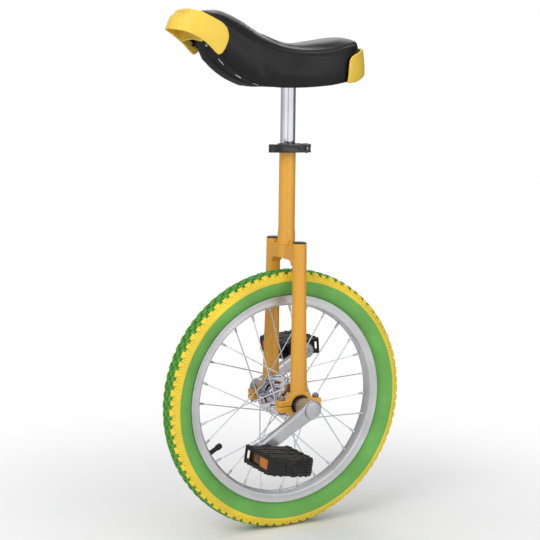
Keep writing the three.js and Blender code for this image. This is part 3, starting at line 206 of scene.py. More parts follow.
def painted(name, colour, roughness=0.28):
    """Gloss paint: orange peel, slow colour drift and slightly duller, lighter edges."""
    s = Shader(name)
    drift = s.ramp(s.noise(9, 3), [(0.3, shade(colour, 0.95)), (0.7, shade(colour, 1.04))])
    worn = s.mix(s.edges(), drift, shade(colour, 1.18))
    s.set(Base_Color=worn, Roughness=s.spread(s.noise(60, 3), roughness - 0.06, roughness + 0.08),
          Coat_Weight=0.35, Coat_Roughness=0.12, Normal=s.bump(s.noise(420, 2), 0.12, 0.0004))
    return s.material


def metal(name, colour, roughness, grain=260, stretch=(1, 1, 1), bump=0.06, metallic=1.0):
    """Bare metal with fine tool marks, smudges in its polish and brighter edges."""
    s = Shader(name)
    marks = s.noise(grain, 6, stretch)
    tone = s.ramp(s.noise(24, 6), [(0.25, shade(colour, 0.86)), (0.75, shade(colour, 1.06))])
    worn = s.mix(s.edges(0.52, 0.62), tone, shade(colour, 1.2))
    s.set(Base_Color=worn, Metallic=metallic,
          Roughness=s.spread(marks, max(roughness - 0.09, 0.03), roughness + 0.12),
          Normal=s.bump(marks, bump, 0.0003))
    return s.material


def moulded(name, colour, roughness=0.45, grain=900, strength=0.18, edge=1.5):
    """Moulded plastic: fine spark texture, faint flow marks and scuffed edges."""
    s = Shader(name)
    flow = s.ramp(s.noise(9, 6), [(0.3, shade(colour, 0.88)), (0.7, shade(colour, 1.1))])
    worn = s.mix(s.edges(0.51, 0.64), flow, shade(colour, edge))
    s.set(Base_Color=worn, Roughness=s.spread(s.noise(80, 4), roughness - 0.07, roughness + 0.1),
          Specular_IOR_Level=0.35, Normal=s.bump(s.noise(grain, 3), strength, 0.0003))
    return s.material


MOULD_LINE_PITCH = 0.0032


def rubber(name, colour, ribs=True):
    """Tyre rubber: dusty variation, small pits and, on a sidewall, fine mould lines round the axle."""
    s = Shader(name)
    dust = s.ramp(s.noise(22, 8), [(0.25, shade(colour, 0.84)), (0.6, colour), (0.85, shade(colour, 1.16))])
    worn = s.mix(s.edges(0.52, 0.66), dust, shade(colour, 1.22))
    pits = s.bump(s.noise(700, 4), 0.25, 0.0004)
    if ribs:
        x, _, z = s.split(s.place)
        across = s.add("CombineXYZ")
        s.join(x, across.inputs[0])
        s.join(s.math("SUBTRACT", z, AXLE_Z), across.inputs[1])
        wave = s.math("MULTIPLY", s.length(across.outputs[0]), TURN / MOULD_LINE_PITCH)
        pits = s.bump(s.math("SINE", wave), 0.12, 0.0004, pits)
    s.set(Base_Color=worn, Roughness=s.spread(s.noise(120, 3), 0.5, 0.72), Normal=pits,
          Specular_IOR_Level=0.35)
    return s.material


def grained_vinyl(name, colour):
    """Soft black seat vinyl: pebble grain with creases, sheen and slightly polished patches."""
    s = Shader(name)
    pebble = s.cells(620)
    crease = s.noise(95, 6)
    first = s.bump(pebble, 0.3, 0.0005)
    second = s.bump(crease, 0.1, 0.0012, first)
    tone = s.ramp(s.noise(12, 7), [(0.25, shade(colour, 0.8)), (0.75, shade(colour, 1.25))])
    s.set(Base_Color=tone, Roughness=s.spread(s.noise(30, 5), 0.3, 0.42), Normal=second,
          Specular_IOR_Level=0.3)
    return s.material


def open_foam(name, colour):
    """Open cells: pale walls between holes, each hole darkened with painted shade."""
    s = Shader(name)
    holes = s.cells(900)
    # painted shade: the colour darkens toward each cell's middle, where the hole lies in shadow
    tone = s.ramp(holes, [(0.05, shade(colour, 0.45)), (0.5, colour)])
    s.set(Base_Color=tone, Roughness=0.95, Normal=s.bump(holes, 0.6, 0.0008))
    return s.material


def prism_plastic(name, colour):
    """Reflector plastic: small cube-corner prisms behind a clear, glossy face, with a painted glint
    lightening each prism's centre and painted shade darkening its edges.
    """
    s = Shader(name)
    facets = s.cells(520)
    # painted glint and shade: each prism's centre is coloured lighter and its edges darker, standing in for
    # how the prisms catch light
    tone = s.ramp(facets, [(0.1, shade(colour, 1.25)), (0.75, shade(colour, 0.42))])
    s.set(Base_Color=tone, Roughness=0.16, Coat_Weight=0.8, Coat_Roughness=0.04,
          Transmission_Weight=0.15, IOR=1.5, Normal=s.bump(facets, 0.35, 0.0006))
    return s.material


FRAME_PAINT = painted("frame_paint_look", linear(222, 160, 48))
CHROME = metal("chrome_look", linear(244, 244, 249), 0.13, 320, (1, 1, 0.05), 0.03)
HUB_CHROME = metal("hub_chrome_look", linear(205, 206, 212), 0.2, 320, (1, 1, 1), 0.05)
RIM_ALLOY = metal("rim_alloy_look", linear(208, 208, 210), 0.38, 500, (1, 0.08, 1), 0.07, 0.75)
CRANK_ALLOY = metal("crank_alloy_look", linear(192, 192, 195), 0.3, 520, (1, 1, 1), 0.08, 0.85)
STEEL = metal("steel_look", linear(176, 177, 182), 0.3, 420, (1, 1, 1), 0.08)
DARK_STEEL = metal("dark_steel_look", linear(62, 62, 64), 0.34, 420, (1, 1, 1), 0.08)
BOLT_STEEL = metal("bolt_steel_look", linear(150, 151, 156), 0.32, 420, (1, 1, 1), 0.1)
SPOKE_STEEL = metal("spoke_steel_look", linear(214, 215, 220), 0.22, 300, (1, 1, 1), 0.04)
NIPPLE_BRASS = metal("nipple_look", linear(198, 198, 200), 0.26, 300, (1, 1, 1), 0.06)
BLACK_METAL = painted("black_anodised_look", linear(21, 21, 21), 0.34)
BLACK_PLASTIC = moulded("black_plastic_look", linear(19, 19, 20), 0.46, 900, 0.22, 1.7)
BASE_PLASTIC = moulded("base_plastic_look", linear(16, 16, 17), 0.5, 600, 0.3, 1.6)
PLUG_PLASTIC = moulded("plug_plastic_look", linear(40, 38, 36), 0.42, 900, 0.2, 1.5)
YELLOW_PLASTIC = moulded("yellow_plastic_look", linear(236, 200, 74), 0.4, 500, 0.12, 1.06)
SEAL_RUBBER = moulded("seal_rubber_look", linear(24, 24, 25), 0.55, 700, 0.2, 1.4)
GREEN_RUBBER = rubber("green_rubber_look", linear(108, 174, 84))
GREEN_KNOBS = rubber("green_knob_look", linear(84, 156, 62), False)
YELLOW_RUBBER = rubber("yellow_rubber_look", linear(234, 206, 62), False)
TUBE_RUBBER = rubber("tube_rubber_look", linear(26, 26, 27), False)
TAPE_CLOTH = open_foam("rim_tape_look", linear(214, 190, 90))
VINYL = grained_vinyl("vinyl_look", linear(12, 12, 14))
FOAM = open_foam("foam_look", linear(220, 205, 150))
AMBER = prism_plastic("amber_look", linear(250, 128, 6))
# A darker copy of the amber reflector plastic: painted shade for the part of each reflector that lies in
# shadow.
AMBER_PAINTED_SHADE = prism_plastic("amber_painted_shade_look", linear(112, 34, 10))


# ---------------------------------------------------------------- meshes

def link(name, mesh):
    obj = bpy.data.objects.new(name, mesh)
    bpy.context.scene.collection.objects.link(obj)
    return obj


def solid(name, shape):
    """An object from a shape, which is a pair of a vertex list and a face list."""
    vertices, faces = shape
    mesh = bpy.data.meshes.new(name)
    mesh.from_pydata([tuple(v) for v in vertices], [], faces)
    mesh.validate()
    tidy(mesh)
    return link(name, mesh)


def tidy(mesh, weld=1e-6):
    """Welds double points and turns every face outwards."""
    work = bmesh.new()
    work.from_mesh(mesh)
    bmesh.ops.remove_doubles(work, verts=work.verts, dist=weld)
    bmesh.ops.dissolve_degenerate(work, edges=work.edges, dist=weld)
    bmesh.ops.recalc_face_normals(work, faces=work.faces)
    work.to_mesh(mesh)
    work.free()


def smooth(obj, angle=38):
    obj.data.shade_smooth()
    obj.data.set_sharp_from_angle(angle=math.radians(angle))


def bake(obj):
    """Turns an object's modifiers into its own mesh."""
    bpy.context.view_layer.update()
    seen = obj.evaluated_get(bpy.context.evaluated_depsgraph_get())
    mesh = bpy.data.meshes.new_from_object(seen)
    obj.modifiers.clear()
    obj.data = mesh


def modify(obj, kind, **settings):
    """Adds a modifier and turns its result into the object's own mesh."""
    modifier = obj.modifiers.new(kind.lower(), kind)
    for key, value in settings.items():
        setattr(modifier, key, value)
    bake(obj)


def bevel(obj, width, segments=2, angle=32):
    modify(obj, "BEVEL", width=width, segments=segments, limit_method="ANGLE",
           angle_limit=math.radians(angle))


def boolean(obj, shape, operation="DIFFERENCE"):
    tool = solid("tool", shape)
    modify(obj, "BOOLEAN", operation=operation, solver="EXACT", object=tool)
    bpy.data.objects.remove(tool)


def melt(obj, voxel, rounds=6, factor=0.5):
    """Fuses everything in a mesh into one skin and softens its edges, as a casting or a weld does."""
    modify(obj, "REMESH", mode="VOXEL", voxel_size=voxel)
    modify(obj, "SMOOTH", factor=factor, iterations=rounds)


def piece(name, shape, body, look, replaces=(), round_edges=0.0, segments=2, angle=38):
    """A finished piece of the object, from a shape or from a mesh object made before."""
    obj = shape if isinstance(shape, bpy.types.Object) else solid(name, shape)
    obj.name = name
    if round_edges:
        bevel(obj, round_edges, segments)
    smooth(obj, angle)
    if not obj.data.materials:
        obj.data.materials.append(look)
    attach(obj, body)
    if replaces:
        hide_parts(*([replaces] if isinstance(replaces, str) else replaces))
    return obj


def moved(shape, matrix):
    vertices, faces = shape
    return [matrix @ Vector(v) for v in vertices], faces


def shifted(shape, x=0.0, y=0.0, z=0.0):
    return moved(shape, Matrix.Translation((x, y, z)))


def mirrored(shape):
    """The right-hand copy of a left-hand shape."""
    return moved(shape, Matrix.Diagonal((1, -1, 1, 1)))


def merged(*shapes):
    vertices, faces = [], []
    for more_vertices, more_faces in shapes:
        start = len(vertices)
        vertices.extend(more_vertices)
        faces.extend([tuple(i + start for i in face) for face in more_faces])
    return vertices, faces


def skin(rows, count, spans, closed):
    """Faces between neighbouring rows of points, and from the last row to the first if it is closed."""
    faces = []
    for i in range(rows if closed else rows - 1):
        after = (i + 1) % rows
        for j in range(spans):
            k = (j + 1) % count
            faces.append((i * count + j, i * count + k, after * count + k, after * count + j))
    return faces


def lathe(profile, sides=64, axis="Y"):
    """Turns (radius, place along the axis) points. The profile closes on itself unless it meets the axis."""
    vertices = []
    for i in range(sides):
        c, s = math.cos(TURN * i / sides), math.sin(TURN * i / sides)
        for radius, along in profile:
            vertices.append((radius * c, along, radius * s) if axis == "Y"
                            else (radius * c, radius * s, along))
    count = len(profile)
    on_axis = profile[0][0] < 1e-9 or profile[-1][0] < 1e-9
    return vertices, skin(sides, count, count - 1 if on_axis else count, True)


def rod(radius, low, high, sides=64, axis="Y"):
    return lathe([(0, low), (radius, low), (radius, high), (0, high)], sides, axis)


def loft(rings, closed=False):
    """Skins a row of equal rings and caps the ends, or closes the row on itself."""
    count = len(rings[0])
    vertices = [point for ring in rings for point in ring]
    faces = skin(len(rings), count, count, closed)
    if not closed:
        faces.append(tuple(range(count)))
        faces.append(tuple(range((len(rings) - 1) * count, len(rings) * count)))
    return vertices, faces


def prism(outline, low, high, plane="XZ", holes=()):
    """A flat plate with holes: the outline is drawn in a plane and given depth along the third axis."""
    low, high = sorted((low, high))
    loops = [outline, *holes]
    flat = [Vector((a, b, 0)) for loop in loops for a, b in loop]
    triangles = tessellate_polygon([[Vector((a, b, 0)) for a, b in loop] for loop in loops])
    order = {"XZ": (0, 2, 1), "XY": (0, 1, 2), "YZ": (2, 0, 1)}[plane]
    count = len(flat)
    vertices = []
    for depth in (low, high):
        vertices += [tuple((p.x, p.y, depth)[i] for i in order) for p in flat]
    if holes:
        faces = [tuple(t) for t in triangles] + [tuple(i + count for i in reversed(t)) for t in triangles]
    else:
        faces = [tuple(range(count)), tuple(range(count, 2 * count))]
    start = 0
    for loop in loops:
        for i in range(len(loop)):
            j = (i + 1) % len(loop)
            faces.append((start + i, start + j, start + j + count, start + i + count))
        start += len(loop)
    return vertices, faces


def block(x0, x1, y0, y1, z0, z1):
    """A box between two values on each axis, given in either order."""
    (x0, x1), (y0, y1) = sorted((x0, x1)), sorted((y0, y1))
    return prism([(x0, y0), (x1, y0), (x1, y1), (x0, y1)], z0, z1, "XY")


def arc(cx, cy, radius, start, end, steps):
    """Points along an arc, angles in degrees."""
    out = []
    for i in range(steps + 1):
        angle = math.radians(start + (end - start) * i / steps)
        out.append((cx + radius * math.cos(angle), cy + radius * math.sin(angle)))
    return out


def circle(cx, cy, radius, steps):
    return arc(cx, cy, radius, 0, 360 * (1 - 1 / steps), steps - 1)


def curve_through(points, steps):
    """A smooth line through points of any dimension (Catmull-Rom)."""
    pts = [np.array(p, float) for p in points]
    out = []
    for i, (p1, p2) in enumerate(zip(pts, pts[1:])):
        p0 = pts[i - 1] if i else 2 * p1 - p2
        p3 = pts[i + 2] if i + 2 < len(pts) else 2 * p2 - p1
        for step in range(steps):
            t = step / steps
            out.append(tuple(0.5 * (2 * p1 + (p2 - p0) * t + (2 * p0 - 5 * p1 + 4 * p2 - p3) * t * t
                                    + (3 * p1 - p0 - 3 * p2 + p3) * t ** 3)))
    return out + [tuple(pts[-1])]


def wire(path, radius, sides=10, closed=False):
    """A round wire along a path. The radius is one number or one for each point."""
    pts = [Vector(p) for p in path]
    count = len(pts)
    radii = [radius] * count if isinstance(radius, float) else radius
    rings, normal = [], None
    for i, point in enumerate(pts):
        before = pts[i - 1] if closed or i else point
        after = pts[(i + 1) % count] if closed or i + 1 < count else point
        along = (after - before).normalized()
        if normal is None:
            helper = Vector((0, 0, 1)) if abs(along.z) < 0.9 else Vector((1, 0, 0))
            normal = along.cross(helper).normalized()
        normal = (normal - along * normal.dot(along)).normalized()
        other = along.cross(normal)
        ring = []
        for j in range(sides):
            angle = TURN * j / sides
            ring.append(point + (normal * math.cos(angle) + other * math.sin(angle)) * radii[i])
        rings.append(ring)
    return loft(rings, closed)


def at_axle(shape):
    return shifted(shape, z=AXLE_Z)


def turned_about_axle(shape, angle):
    """Turns a shape made about the Y axis at the origin, so that +X goes up by the angle."""
    return moved(shape, Matrix.Rotation(-angle, 4, "Y"))


def as_made(shape):
    return shape


def both_sides(build):
    """Calls build(name, flip) for the left side and for the right side, which is a mirror image."""
    build("left", as_made)
    build("right", mirrored)


def drill(obj, radius, low, high, sides, axis="Z", **place):
    """Cuts a round hole from low to high along an axis, through a place."""
    boolean(obj, shifted(rod(radius, low, high, sides, axis), **place))


def place_mesh(obj, matrix):
    """Moves a mesh, and turns its faces outwards again where the matrix mirrors it."""
    obj.data.transform(matrix)
    if matrix.determinant() < 0:
        obj.data.flip_normals()


def smoothstep(low, high, value):
    t = min(max((value - low) / (high - low), 0.0), 1.0)
    return t * t * (3 - 2 * t)


def hex_outline(radius):
    corners = [TURN * (i + 0.5) / 6 for i in range(6)]
    return [(radius * math.cos(corner), radius * math.sin(corner)) for corner in corners]


THREAD_PITCH = 0.001


def threads(radius, low, high):
    """A bolt's shank with cut thread ridges, upright."""
    profile = [(0, low)]
    for i in range(int((high - low) / THREAD_PITCH)):
        z = low + i * THREAD_PITCH
        profile += [(radius - 0.00035, z + 0.1 * THREAD_PITCH), (radius, z + 0.5 * THREAD_PITCH)]
    profile += [(radius - 0.0006, high), (0, high)]
    return lathe(profile, 20, "Z")


# ---------------------------------------------------------------- frame

LEG_RADIUS = 0.0123
LEG_FOOT = AXLE_Z + 0.022
LEG_TOP_Y = centre_of("left_leg_plug").y
LEG_FOOT_Y = 0.0508
HOLDER_HALF = 0.008


def leg_ring(z, inset=0.0, sides=48):
    low = (LEG_TOP - z) / (LEG_TOP - LEG_FOOT)
    y = LEG_TOP_Y + (LEG_FOOT_Y - LEG_TOP_Y) * low
    squeeze = smoothstep(0.35, 1.0, low)
    fore_aft = LEG_RADIUS + (0.0154 - LEG_RADIUS) * squeeze - inset
    sideways = LEG_RADIUS + (0.0100 - LEG_RADIUS) * squeeze - inset
    return [(fore_aft * math.cos(TURN * i / sides), y + sideways * math.sin(TURN * i / sides), z)
            for i in range(sides)]


def leg(inset, bottom, top, steps=14):
    return loft([leg_ring(bottom + (top - bottom) * i / steps, inset) for i in range(steps + 1)])


def holder_outline(upper):
    """The outline of half a bearing holder about the axle, in X and Z."""
    bore = 0.0178
    up = 1 if upper else -1
    half = [(bore + 0.0012, 0.0007), (0.041, 0.0007), (0.041, 0.0068), (0.0402, 0.0092), (0.0378, 0.0100),
            (0.0268, 0.0100)]
    if upper:
        half += [(0.0226, 0.0128), (0.0198, 0.0164), (0.0164, 0.0197), (0.0120, 0.0224)]
    else:
        half += [(0.0235, 0.0128), (0.0178, 0.0190), (0.0105, 0.0236), (0.0052, 0.0250)]
    right = [(x, up * z) for x, z in half]
    left = [(-x, up * z) for x, z in reversed(half)]
    span = arc(0, 0, bore, 176 if upper else -176, 4 if upper else -4, 28)
    return right + left + span


CROWN_TOP = AXLE_Z + 0.272
TUBE_BORE = 0.0130
WELD_BEAD = 0.0011


def frame_fork():
    """Both legs, the crown and the upper half of each bearing holder, welded into one."""
    low_y = BEARING_Y - HOLDER_HALF
    high_y = BEARING_Y + HOLDER_HALF
    holder = at_axle(prism(holder_outline(True), low_y, high_y))
    crown_low = CROWN_TOP - 0.025
    crown_high = CROWN_TOP
    inner = LEG_TOP_Y - LEG_RADIUS
    fillet = 0.008
    web = [(0.006, crown_high), (LEG_TOP_Y - 0.004, crown_high), (LEG_TOP_Y - 0.004, crown_low - fillet),
           (inner + 0.001, crown_low - fillet)]
    web += arc(inner - fillet, crown_low - fillet, fillet, 0, 90, 8) + [(0.006, crown_low)]
    side = merged(leg(0, LEG_FOOT - 0.004, LEG_TOP), holder, prism(web, -0.010, 0.010, "YZ"))
    socket = rod(0.0151, CROWN_TOP - 0.023, CROWN_TOP + 0.004, 64, "Z")
    obj = solid("fork", merged(side, mirrored(side), socket))
    melt(obj, 0.0009, 5)
    drill(obj, TUBE_BORE, 0.40, 0.56, 64)
    for flip in (as_made, mirrored):
        boolean(obj, flip(leg(0.0016, AXLE_Z + 0.045, LEG_TOP + 0.004)))
    piece("frame_fork", obj, "frame", FRAME_PAINT, "frame", angle=40)


def seat_tube():
    """The upright tube, wider where it is welded into the crown, with a slit under the clamp."""
    low, high = CROWN_TOP - 0.0225, TUBE_TOP
    profile = [(TUBE_BORE, low), (0.0150, low), (0.0152, low + 0.004), (0.0150, CROWN_TOP + 0.019),
               (0.0146, CROWN_TOP + 0.022), (0.0141, CROWN_TOP + 0.027), (0.0140, CROWN_TOP + 0.033),
               (0.0140, high - 0.0004), (0.0136, high), (0.0133, high), (TUBE_BORE, high - 0.0003)]
    obj = solid("seat_tube", lathe(profile, 72, "Z"))
    slit, slit_low = 0.0014, high - 0.030
    boolean(obj, block(-0.02, -0.008, -slit, slit, slit_low, high + 0.002))
    relief = moved(rod(0.0026, -0.02, -0.008, 24), Matrix.Rotation(math.radians(-90), 4, "Z"))
    boolean(obj, shifted(relief, z=slit_low))
    piece("frame_seat_tube", obj, "frame", FRAME_PAINT, angle=30)
    bead = []
    for i in range(10):
        angle = TURN * i / 10
        bead.append((0.0152 + WELD_BEAD * math.sin(angle), CROWN_TOP + 0.0008 + WELD_BEAD * math.cos(angle)))
    piece("crown_weld", lathe(bead, 96, "Z"), "frame", FRAME_PAINT)


def leg_plugs(name, flip):
    r = LEG_RADIUS
    top = LEG_TOP + 0.0003
    profile = [(0, top + 0.0020), (r - 0.0035, top + 0.0020), (r - 0.0022, top + 0.0017),
               (r - 0.0008, top + 0.0012), (r + 0.0001, top + 0.0005), (r + 0.0001, top),
               (r - 0.0019, top), (r - 0.0019, top - 0.009), (0, top - 0.009)]
    piece(f"{name}_plug", flip(shifted(lathe(profile, 48, "Z"), y=LEG_TOP_Y)), "frame", PLUG_PLASTIC,
          f"{name}_leg_plug")


def bearing_caps(name, flip):
    shape = prism(holder_outline(False), BEARING_Y - HOLDER_HALF, BEARING_Y + HOLDER_HALF)
    piece(f"{name}_holder_cap", flip(at_axle(shape)), "frame", FRAME_PAINT,
          f"{name}_bearing_cap", 0.0009, 3)


HOLDER_NUT = 0.0056


def holder_bolts(name, flip):
    under = -0.0103
    for end, x in (("front", 0.033), ("rear", -0.033)):
        head = prism(hex_outline(HOLDER_NUT), under - 0.004, under, "XY")
        washer = lathe([(0.0033, under - 0.0001), (0.0066, under - 0.0001), (0.0066, under + 0.0001),
                        (0.0033, under + 0.0001)], 24, "Z")
        shank = threads(0.0029, under - 0.001, 0.0176)
        bolt = at_axle(shifted(merged(head, washer, shank), x=x, y=BEARING_Y))
        piece(f"{name}_{end}_holder_bolt", flip(bolt), "frame", BOLT_STEEL,
              f"{name}_{end}_cap_bolt", 0.00035, 2, 30)
        nut = prism(hex_outline(HOLDER_NUT), 0.0103, 0.0153, "XY", [circle(0, 0, 0.0033, 20)])
        piece(f"{name}_{end}_holder_nut", flip(at_axle(shifted(nut, x=x, y=BEARING_Y))), "frame",
              BOLT_STEEL, f"{name}_{end}_cap_nut", 0.0005, 2, 30)


def bearings(name, flip):
    """Outer and inner rings with grooves, a caged row of balls, and a black seal on each face."""
    outer = [(0.0147, -0.005), (0.0172, -0.005), (0.0175, -0.0047), (0.0175, 0.0047), (0.0172, 0.005),
             (0.0147, 0.005), (0.0147, 0.0028), (0.0153, 0.0020), (0.0157, 0), (0.0153, -0.0020),
             (0.0147, -0.0028)]
    inner = [(0.0088, -0.005), (0.0115, -0.005), (0.0115, -0.0028), (0.0109, -0.0020), (0.0105, 0),
             (0.0109, 0.0020), (0.0115, 0.0028), (0.0115, 0.005), (0.0088, 0.005)]

    def place(shape):
        return flip(shifted(shape, y=BEARING_Y, z=AXLE_Z))

    piece(f"{name}_outer_race", place(lathe(outer, 72)), "frame", DARK_STEEL,
          f"{name}_bearing_outer_ring", angle=30)
    piece(f"{name}_inner_race", place(lathe(inner, 72)), "wheel", STEEL,
          f"{name}_bearing_inner_ring", angle=30)
    for face, side in (("outside", 1), ("inside", -1)):
        seal = [(0.0119, side * 0.0042), (0.0146, side * 0.0042), (0.0146, side * 0.0049),
                (0.0138, side * 0.00495), (0.0134, side * 0.0047), (0.0124, side * 0.0047),
                (0.0121, side * 0.0049), (0.0119, side * 0.0048)]
        piece(f"{name}_{face}_seal", place(lathe(seal, 72)), "frame", SEAL_RUBBER)
    balls = []
    for i in range(8):
        angle = TURN * i / 8
        ball = lathe([(0.0023 * math.sin(math.pi * j / 8), -0.0023 * math.cos(math.pi * j / 8))
                      for j in range(9)], 14)
        balls.append(shifted(ball, x=0.0131 * math.cos(angle), z=0.0131 * math.sin(angle)))
    cage = lathe([(0.0124, -0.0009), (0.0138, -0.0009), (0.0138, 0.0009), (0.0124, 0.0009)], 48)
    piece(f"{name}_balls", place(merged(cage, *balls)), f"{name}_ball_cage", STEEL,
          f"{name}_bearing_balls")


# ---------------------------------------------------------------- seat clamp

SKEWER_X = -0.0245
PIVOT_X, PIVOT_Y = -0.0245, 0.0225


def at_clamp(shape):
    return shifted(shape, z=CLAMP_Z)


def ear(reach, y0, y1):
    radius = 0.0071
    outline = [(-0.0120, -radius), (-0.0120, radius)] + arc(-reach, 0, radius, 90, 270, 14)
    return prism(outline, y0, y1)


def seat_clamp():
    """A split collar with two ears for the skewer, drawn at the origin and lifted into place."""
    half, bore, slit = 0.0072, 0.0143, 0.0015
    collar = lathe([(bore, -half), (0.0168, -half), (0.0174, -half + 0.0008), (0.0174, half - 0.0008),
                    (0.0168, half), (bore, half)], 96, "Z")
    obj = solid("clamp", collar)
    bevel(obj, 0.0003, 2)
    for shape in (ear(0.0345, slit, 0.007), ear(0.0255, -0.011, -slit), ear(0.0255, 0.0065, 0.011)):
        boolean(obj, shape, "UNION")
    drill(obj, bore, -0.01, 0.01, 96)
    boolean(obj, block(-0.045, 0, -slit, slit, -0.01, 0.01))
    drill(obj, 0.0027, -0.03, 0.03, 24, "Y", x=SKEWER_X)
    drill(obj, 0.003, 0, 0.02, 24, "Y", x=-0.035)
    bevel(obj, 0.0005, 2, 40)
    place_mesh(obj, Matrix.Translation((0, 0, CLAMP_Z)))
    piece("clamp_collar", obj, "frame", BLACK_METAL, "seat_clamp", angle=35)


def clamp_hardware():
    """The skewer with its eye, the knurled nut, the washer under the lever and the lever's pin."""
    skewer = merged(
        lathe([(0, -0.0150), (0.0020, -0.0150), (0.0024, -0.0146), (0.0024, 0.0250), (0, 0.0250)], 24),
        prism(arc(0, PIVOT_Y, 0.0042, 0, 360 - 18, 19), -0.0026, 0.0026, "XY",
              [circle(0, PIVOT_Y, 0.0029, 16)]),
    )
    piece("skewer", at_clamp(shifted(skewer, x=SKEWER_X)), "frame", BOLT_STEEL, "clamp_skewer",
          0.0003)
    knurl = []
    for i in range(36):
        radius = 0.0064 + (0.00025 if i % 2 else 0)
        knurl.append((radius * math.cos(TURN * i / 36), radius * math.sin(TURN * i / 36)))
    nut = merged(prism(knurl, -0.0178, -0.0113, "XZ"),
                 lathe([(0, -0.0186), (0.0044, -0.0186), (0.0056, -0.0178), (0, -0.0178)], 36))
    piece("skewer_nut", at_clamp(shifted(nut, x=SKEWER_X)), "frame", BLACK_METAL,
          "clamp_nut", 0.0003)
    washer = [(0.0027, 0.0113), (0.0070, 0.0113), (0.0072, 0.0117), (0.0072, 0.0130), (0.0066, 0.0134),
              (0.0027, 0.0134)]
    piece("skewer_washer", at_clamp(shifted(lathe(washer, 40), x=SKEWER_X)), "frame", BLACK_METAL,
          "clamp_washer")
    pin = [(0, -0.0086), (0.0018, -0.0086), (0.0026, -0.0080), (0.0026, 0.0080), (0.0018, 0.0086),
           (0, 0.0086)]
    piece("lever_pivot", at_clamp(shifted(lathe(pin, 28, "Z"), x=PIVOT_X, y=PIVOT_Y)), "frame", STEEL,
          "lever_pin")


def quick_release():
    """The lever: a forked barrel round the pin, and a curved blade with a finger hollow near its tip."""
    outer = [(-0.0290, 0.0282), (-0.0180, 0.0298), (-0.0040, 0.0304), (0.0100, 0.0292), (0.0230, 0.0246),
             (0.0340, 0.0190), (0.0412, 0.0162), (0.0434, 0.0140)]
    inner = [(0.0424, 0.0114), (0.0394, 0.0104), (0.0300, 0.0132), (0.0190, 0.0188), (0.0080, 0.0228),
             (-0.0040, 0.0240), (-0.0150, 0.0218), (-0.0200, 0.0190)]
    outline = curve_through(outer, 5) + curve_through(inner, 5)
    half = 0.0069
    blade = prism(outline, -half, half, "XY")
    obj = solid("lever", blade)
    boolean(obj, shifted(rod(0.0074, -half, half, 48, "Z"), x=PIVOT_X, y=PIVOT_Y), "UNION")
    drill(obj, 0.0029, -0.01, 0.01, 28, x=PIVOT_X, y=PIVOT_Y)
    before, after, fork = 0.012, 0.0075, 0.003
    boolean(obj, block(PIVOT_X - before, PIVOT_X + after, PIVOT_Y - before, PIVOT_Y + after, -fork, fork))
    hollow = block(-0.008, 0.034, 0.0270, 0.034, -0.0032, 0.0032)
    boolean(obj, moved(hollow, Matrix.Rotation(math.radians(-4), 4, "Z")))
    bevel(obj, 0.0007, 3, 40)
    place_mesh(obj, Matrix.Translation((0, 0, CLAMP_Z)))
    piece("release_lever", obj, "lever", BLACK_METAL, "qr_lever", angle=32)


# ---------------------------------------------------------------- seat post

BOLT_X, BOLT_Y = 0.04, 0.014


def seat_post():
    """The chrome tube, flared into its plate, and the four bolts up into the saddle."""
    plate_low = POST_HIGH - 0.003
    tube = lathe([(0.0111, POST_LOW), (0.0122, POST_LOW), (0.0127, POST_LOW + 0.0006),
                  (0.0127, plate_low - 0.004), (0.0137, plate_low - 0.0015), (0.0146, plate_low),
                  (0.0111, plate_low)], 96, "Z")
    corner = 0.008
    length, width = 0.050, 0.022
    outline = (arc(length - corner, width - corner, corner, 0, 90, 8)
               + arc(-length + corner, width - corner, corner, 90, 180, 8)
               + arc(-length + corner, -width + corner, corner, 180, 270, 8)
               + arc(length - corner, -width + corner, corner, 270, 360, 8))
    holes = [circle(x, y, 0.0032, 20) for x in (BOLT_X, -BOLT_X) for y in (BOLT_Y, -BOLT_Y)]
    piece("post_tube", tube, "seat", CHROME, "seat_post", angle=30)
    piece("post_plate", prism(outline, plate_low, POST_HIGH, "XY", holes), "seat", BOLT_STEEL,
          (), 0.0005)
    head = plate_low - 0.0003
    for end, x in (("front", BOLT_X), ("rear", -BOLT_X)):
        for name, y in (("left", BOLT_Y), ("right", -BOLT_Y)):
            bolt = merged(prism(hex_outline(0.0054), head - 0.004, head - 0.0008, "XY"),
                          rod(0.0072, head - 0.0009, head, 28, "Z"),
                          threads(0.0029, head - 0.001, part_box("front_left_saddle_bolt")[1].z))
            piece(f"saddle_bolt_{end}_{name}", shifted(bolt, x=x, y=y), "seat", BOLT_STEEL,
                  f"{end}_{name}_saddle_bolt", 0.0003, 2, 30)


# ---------------------------------------------------------------- saddle

Row = namedtuple("Row", "x half top seam skirt under floor")

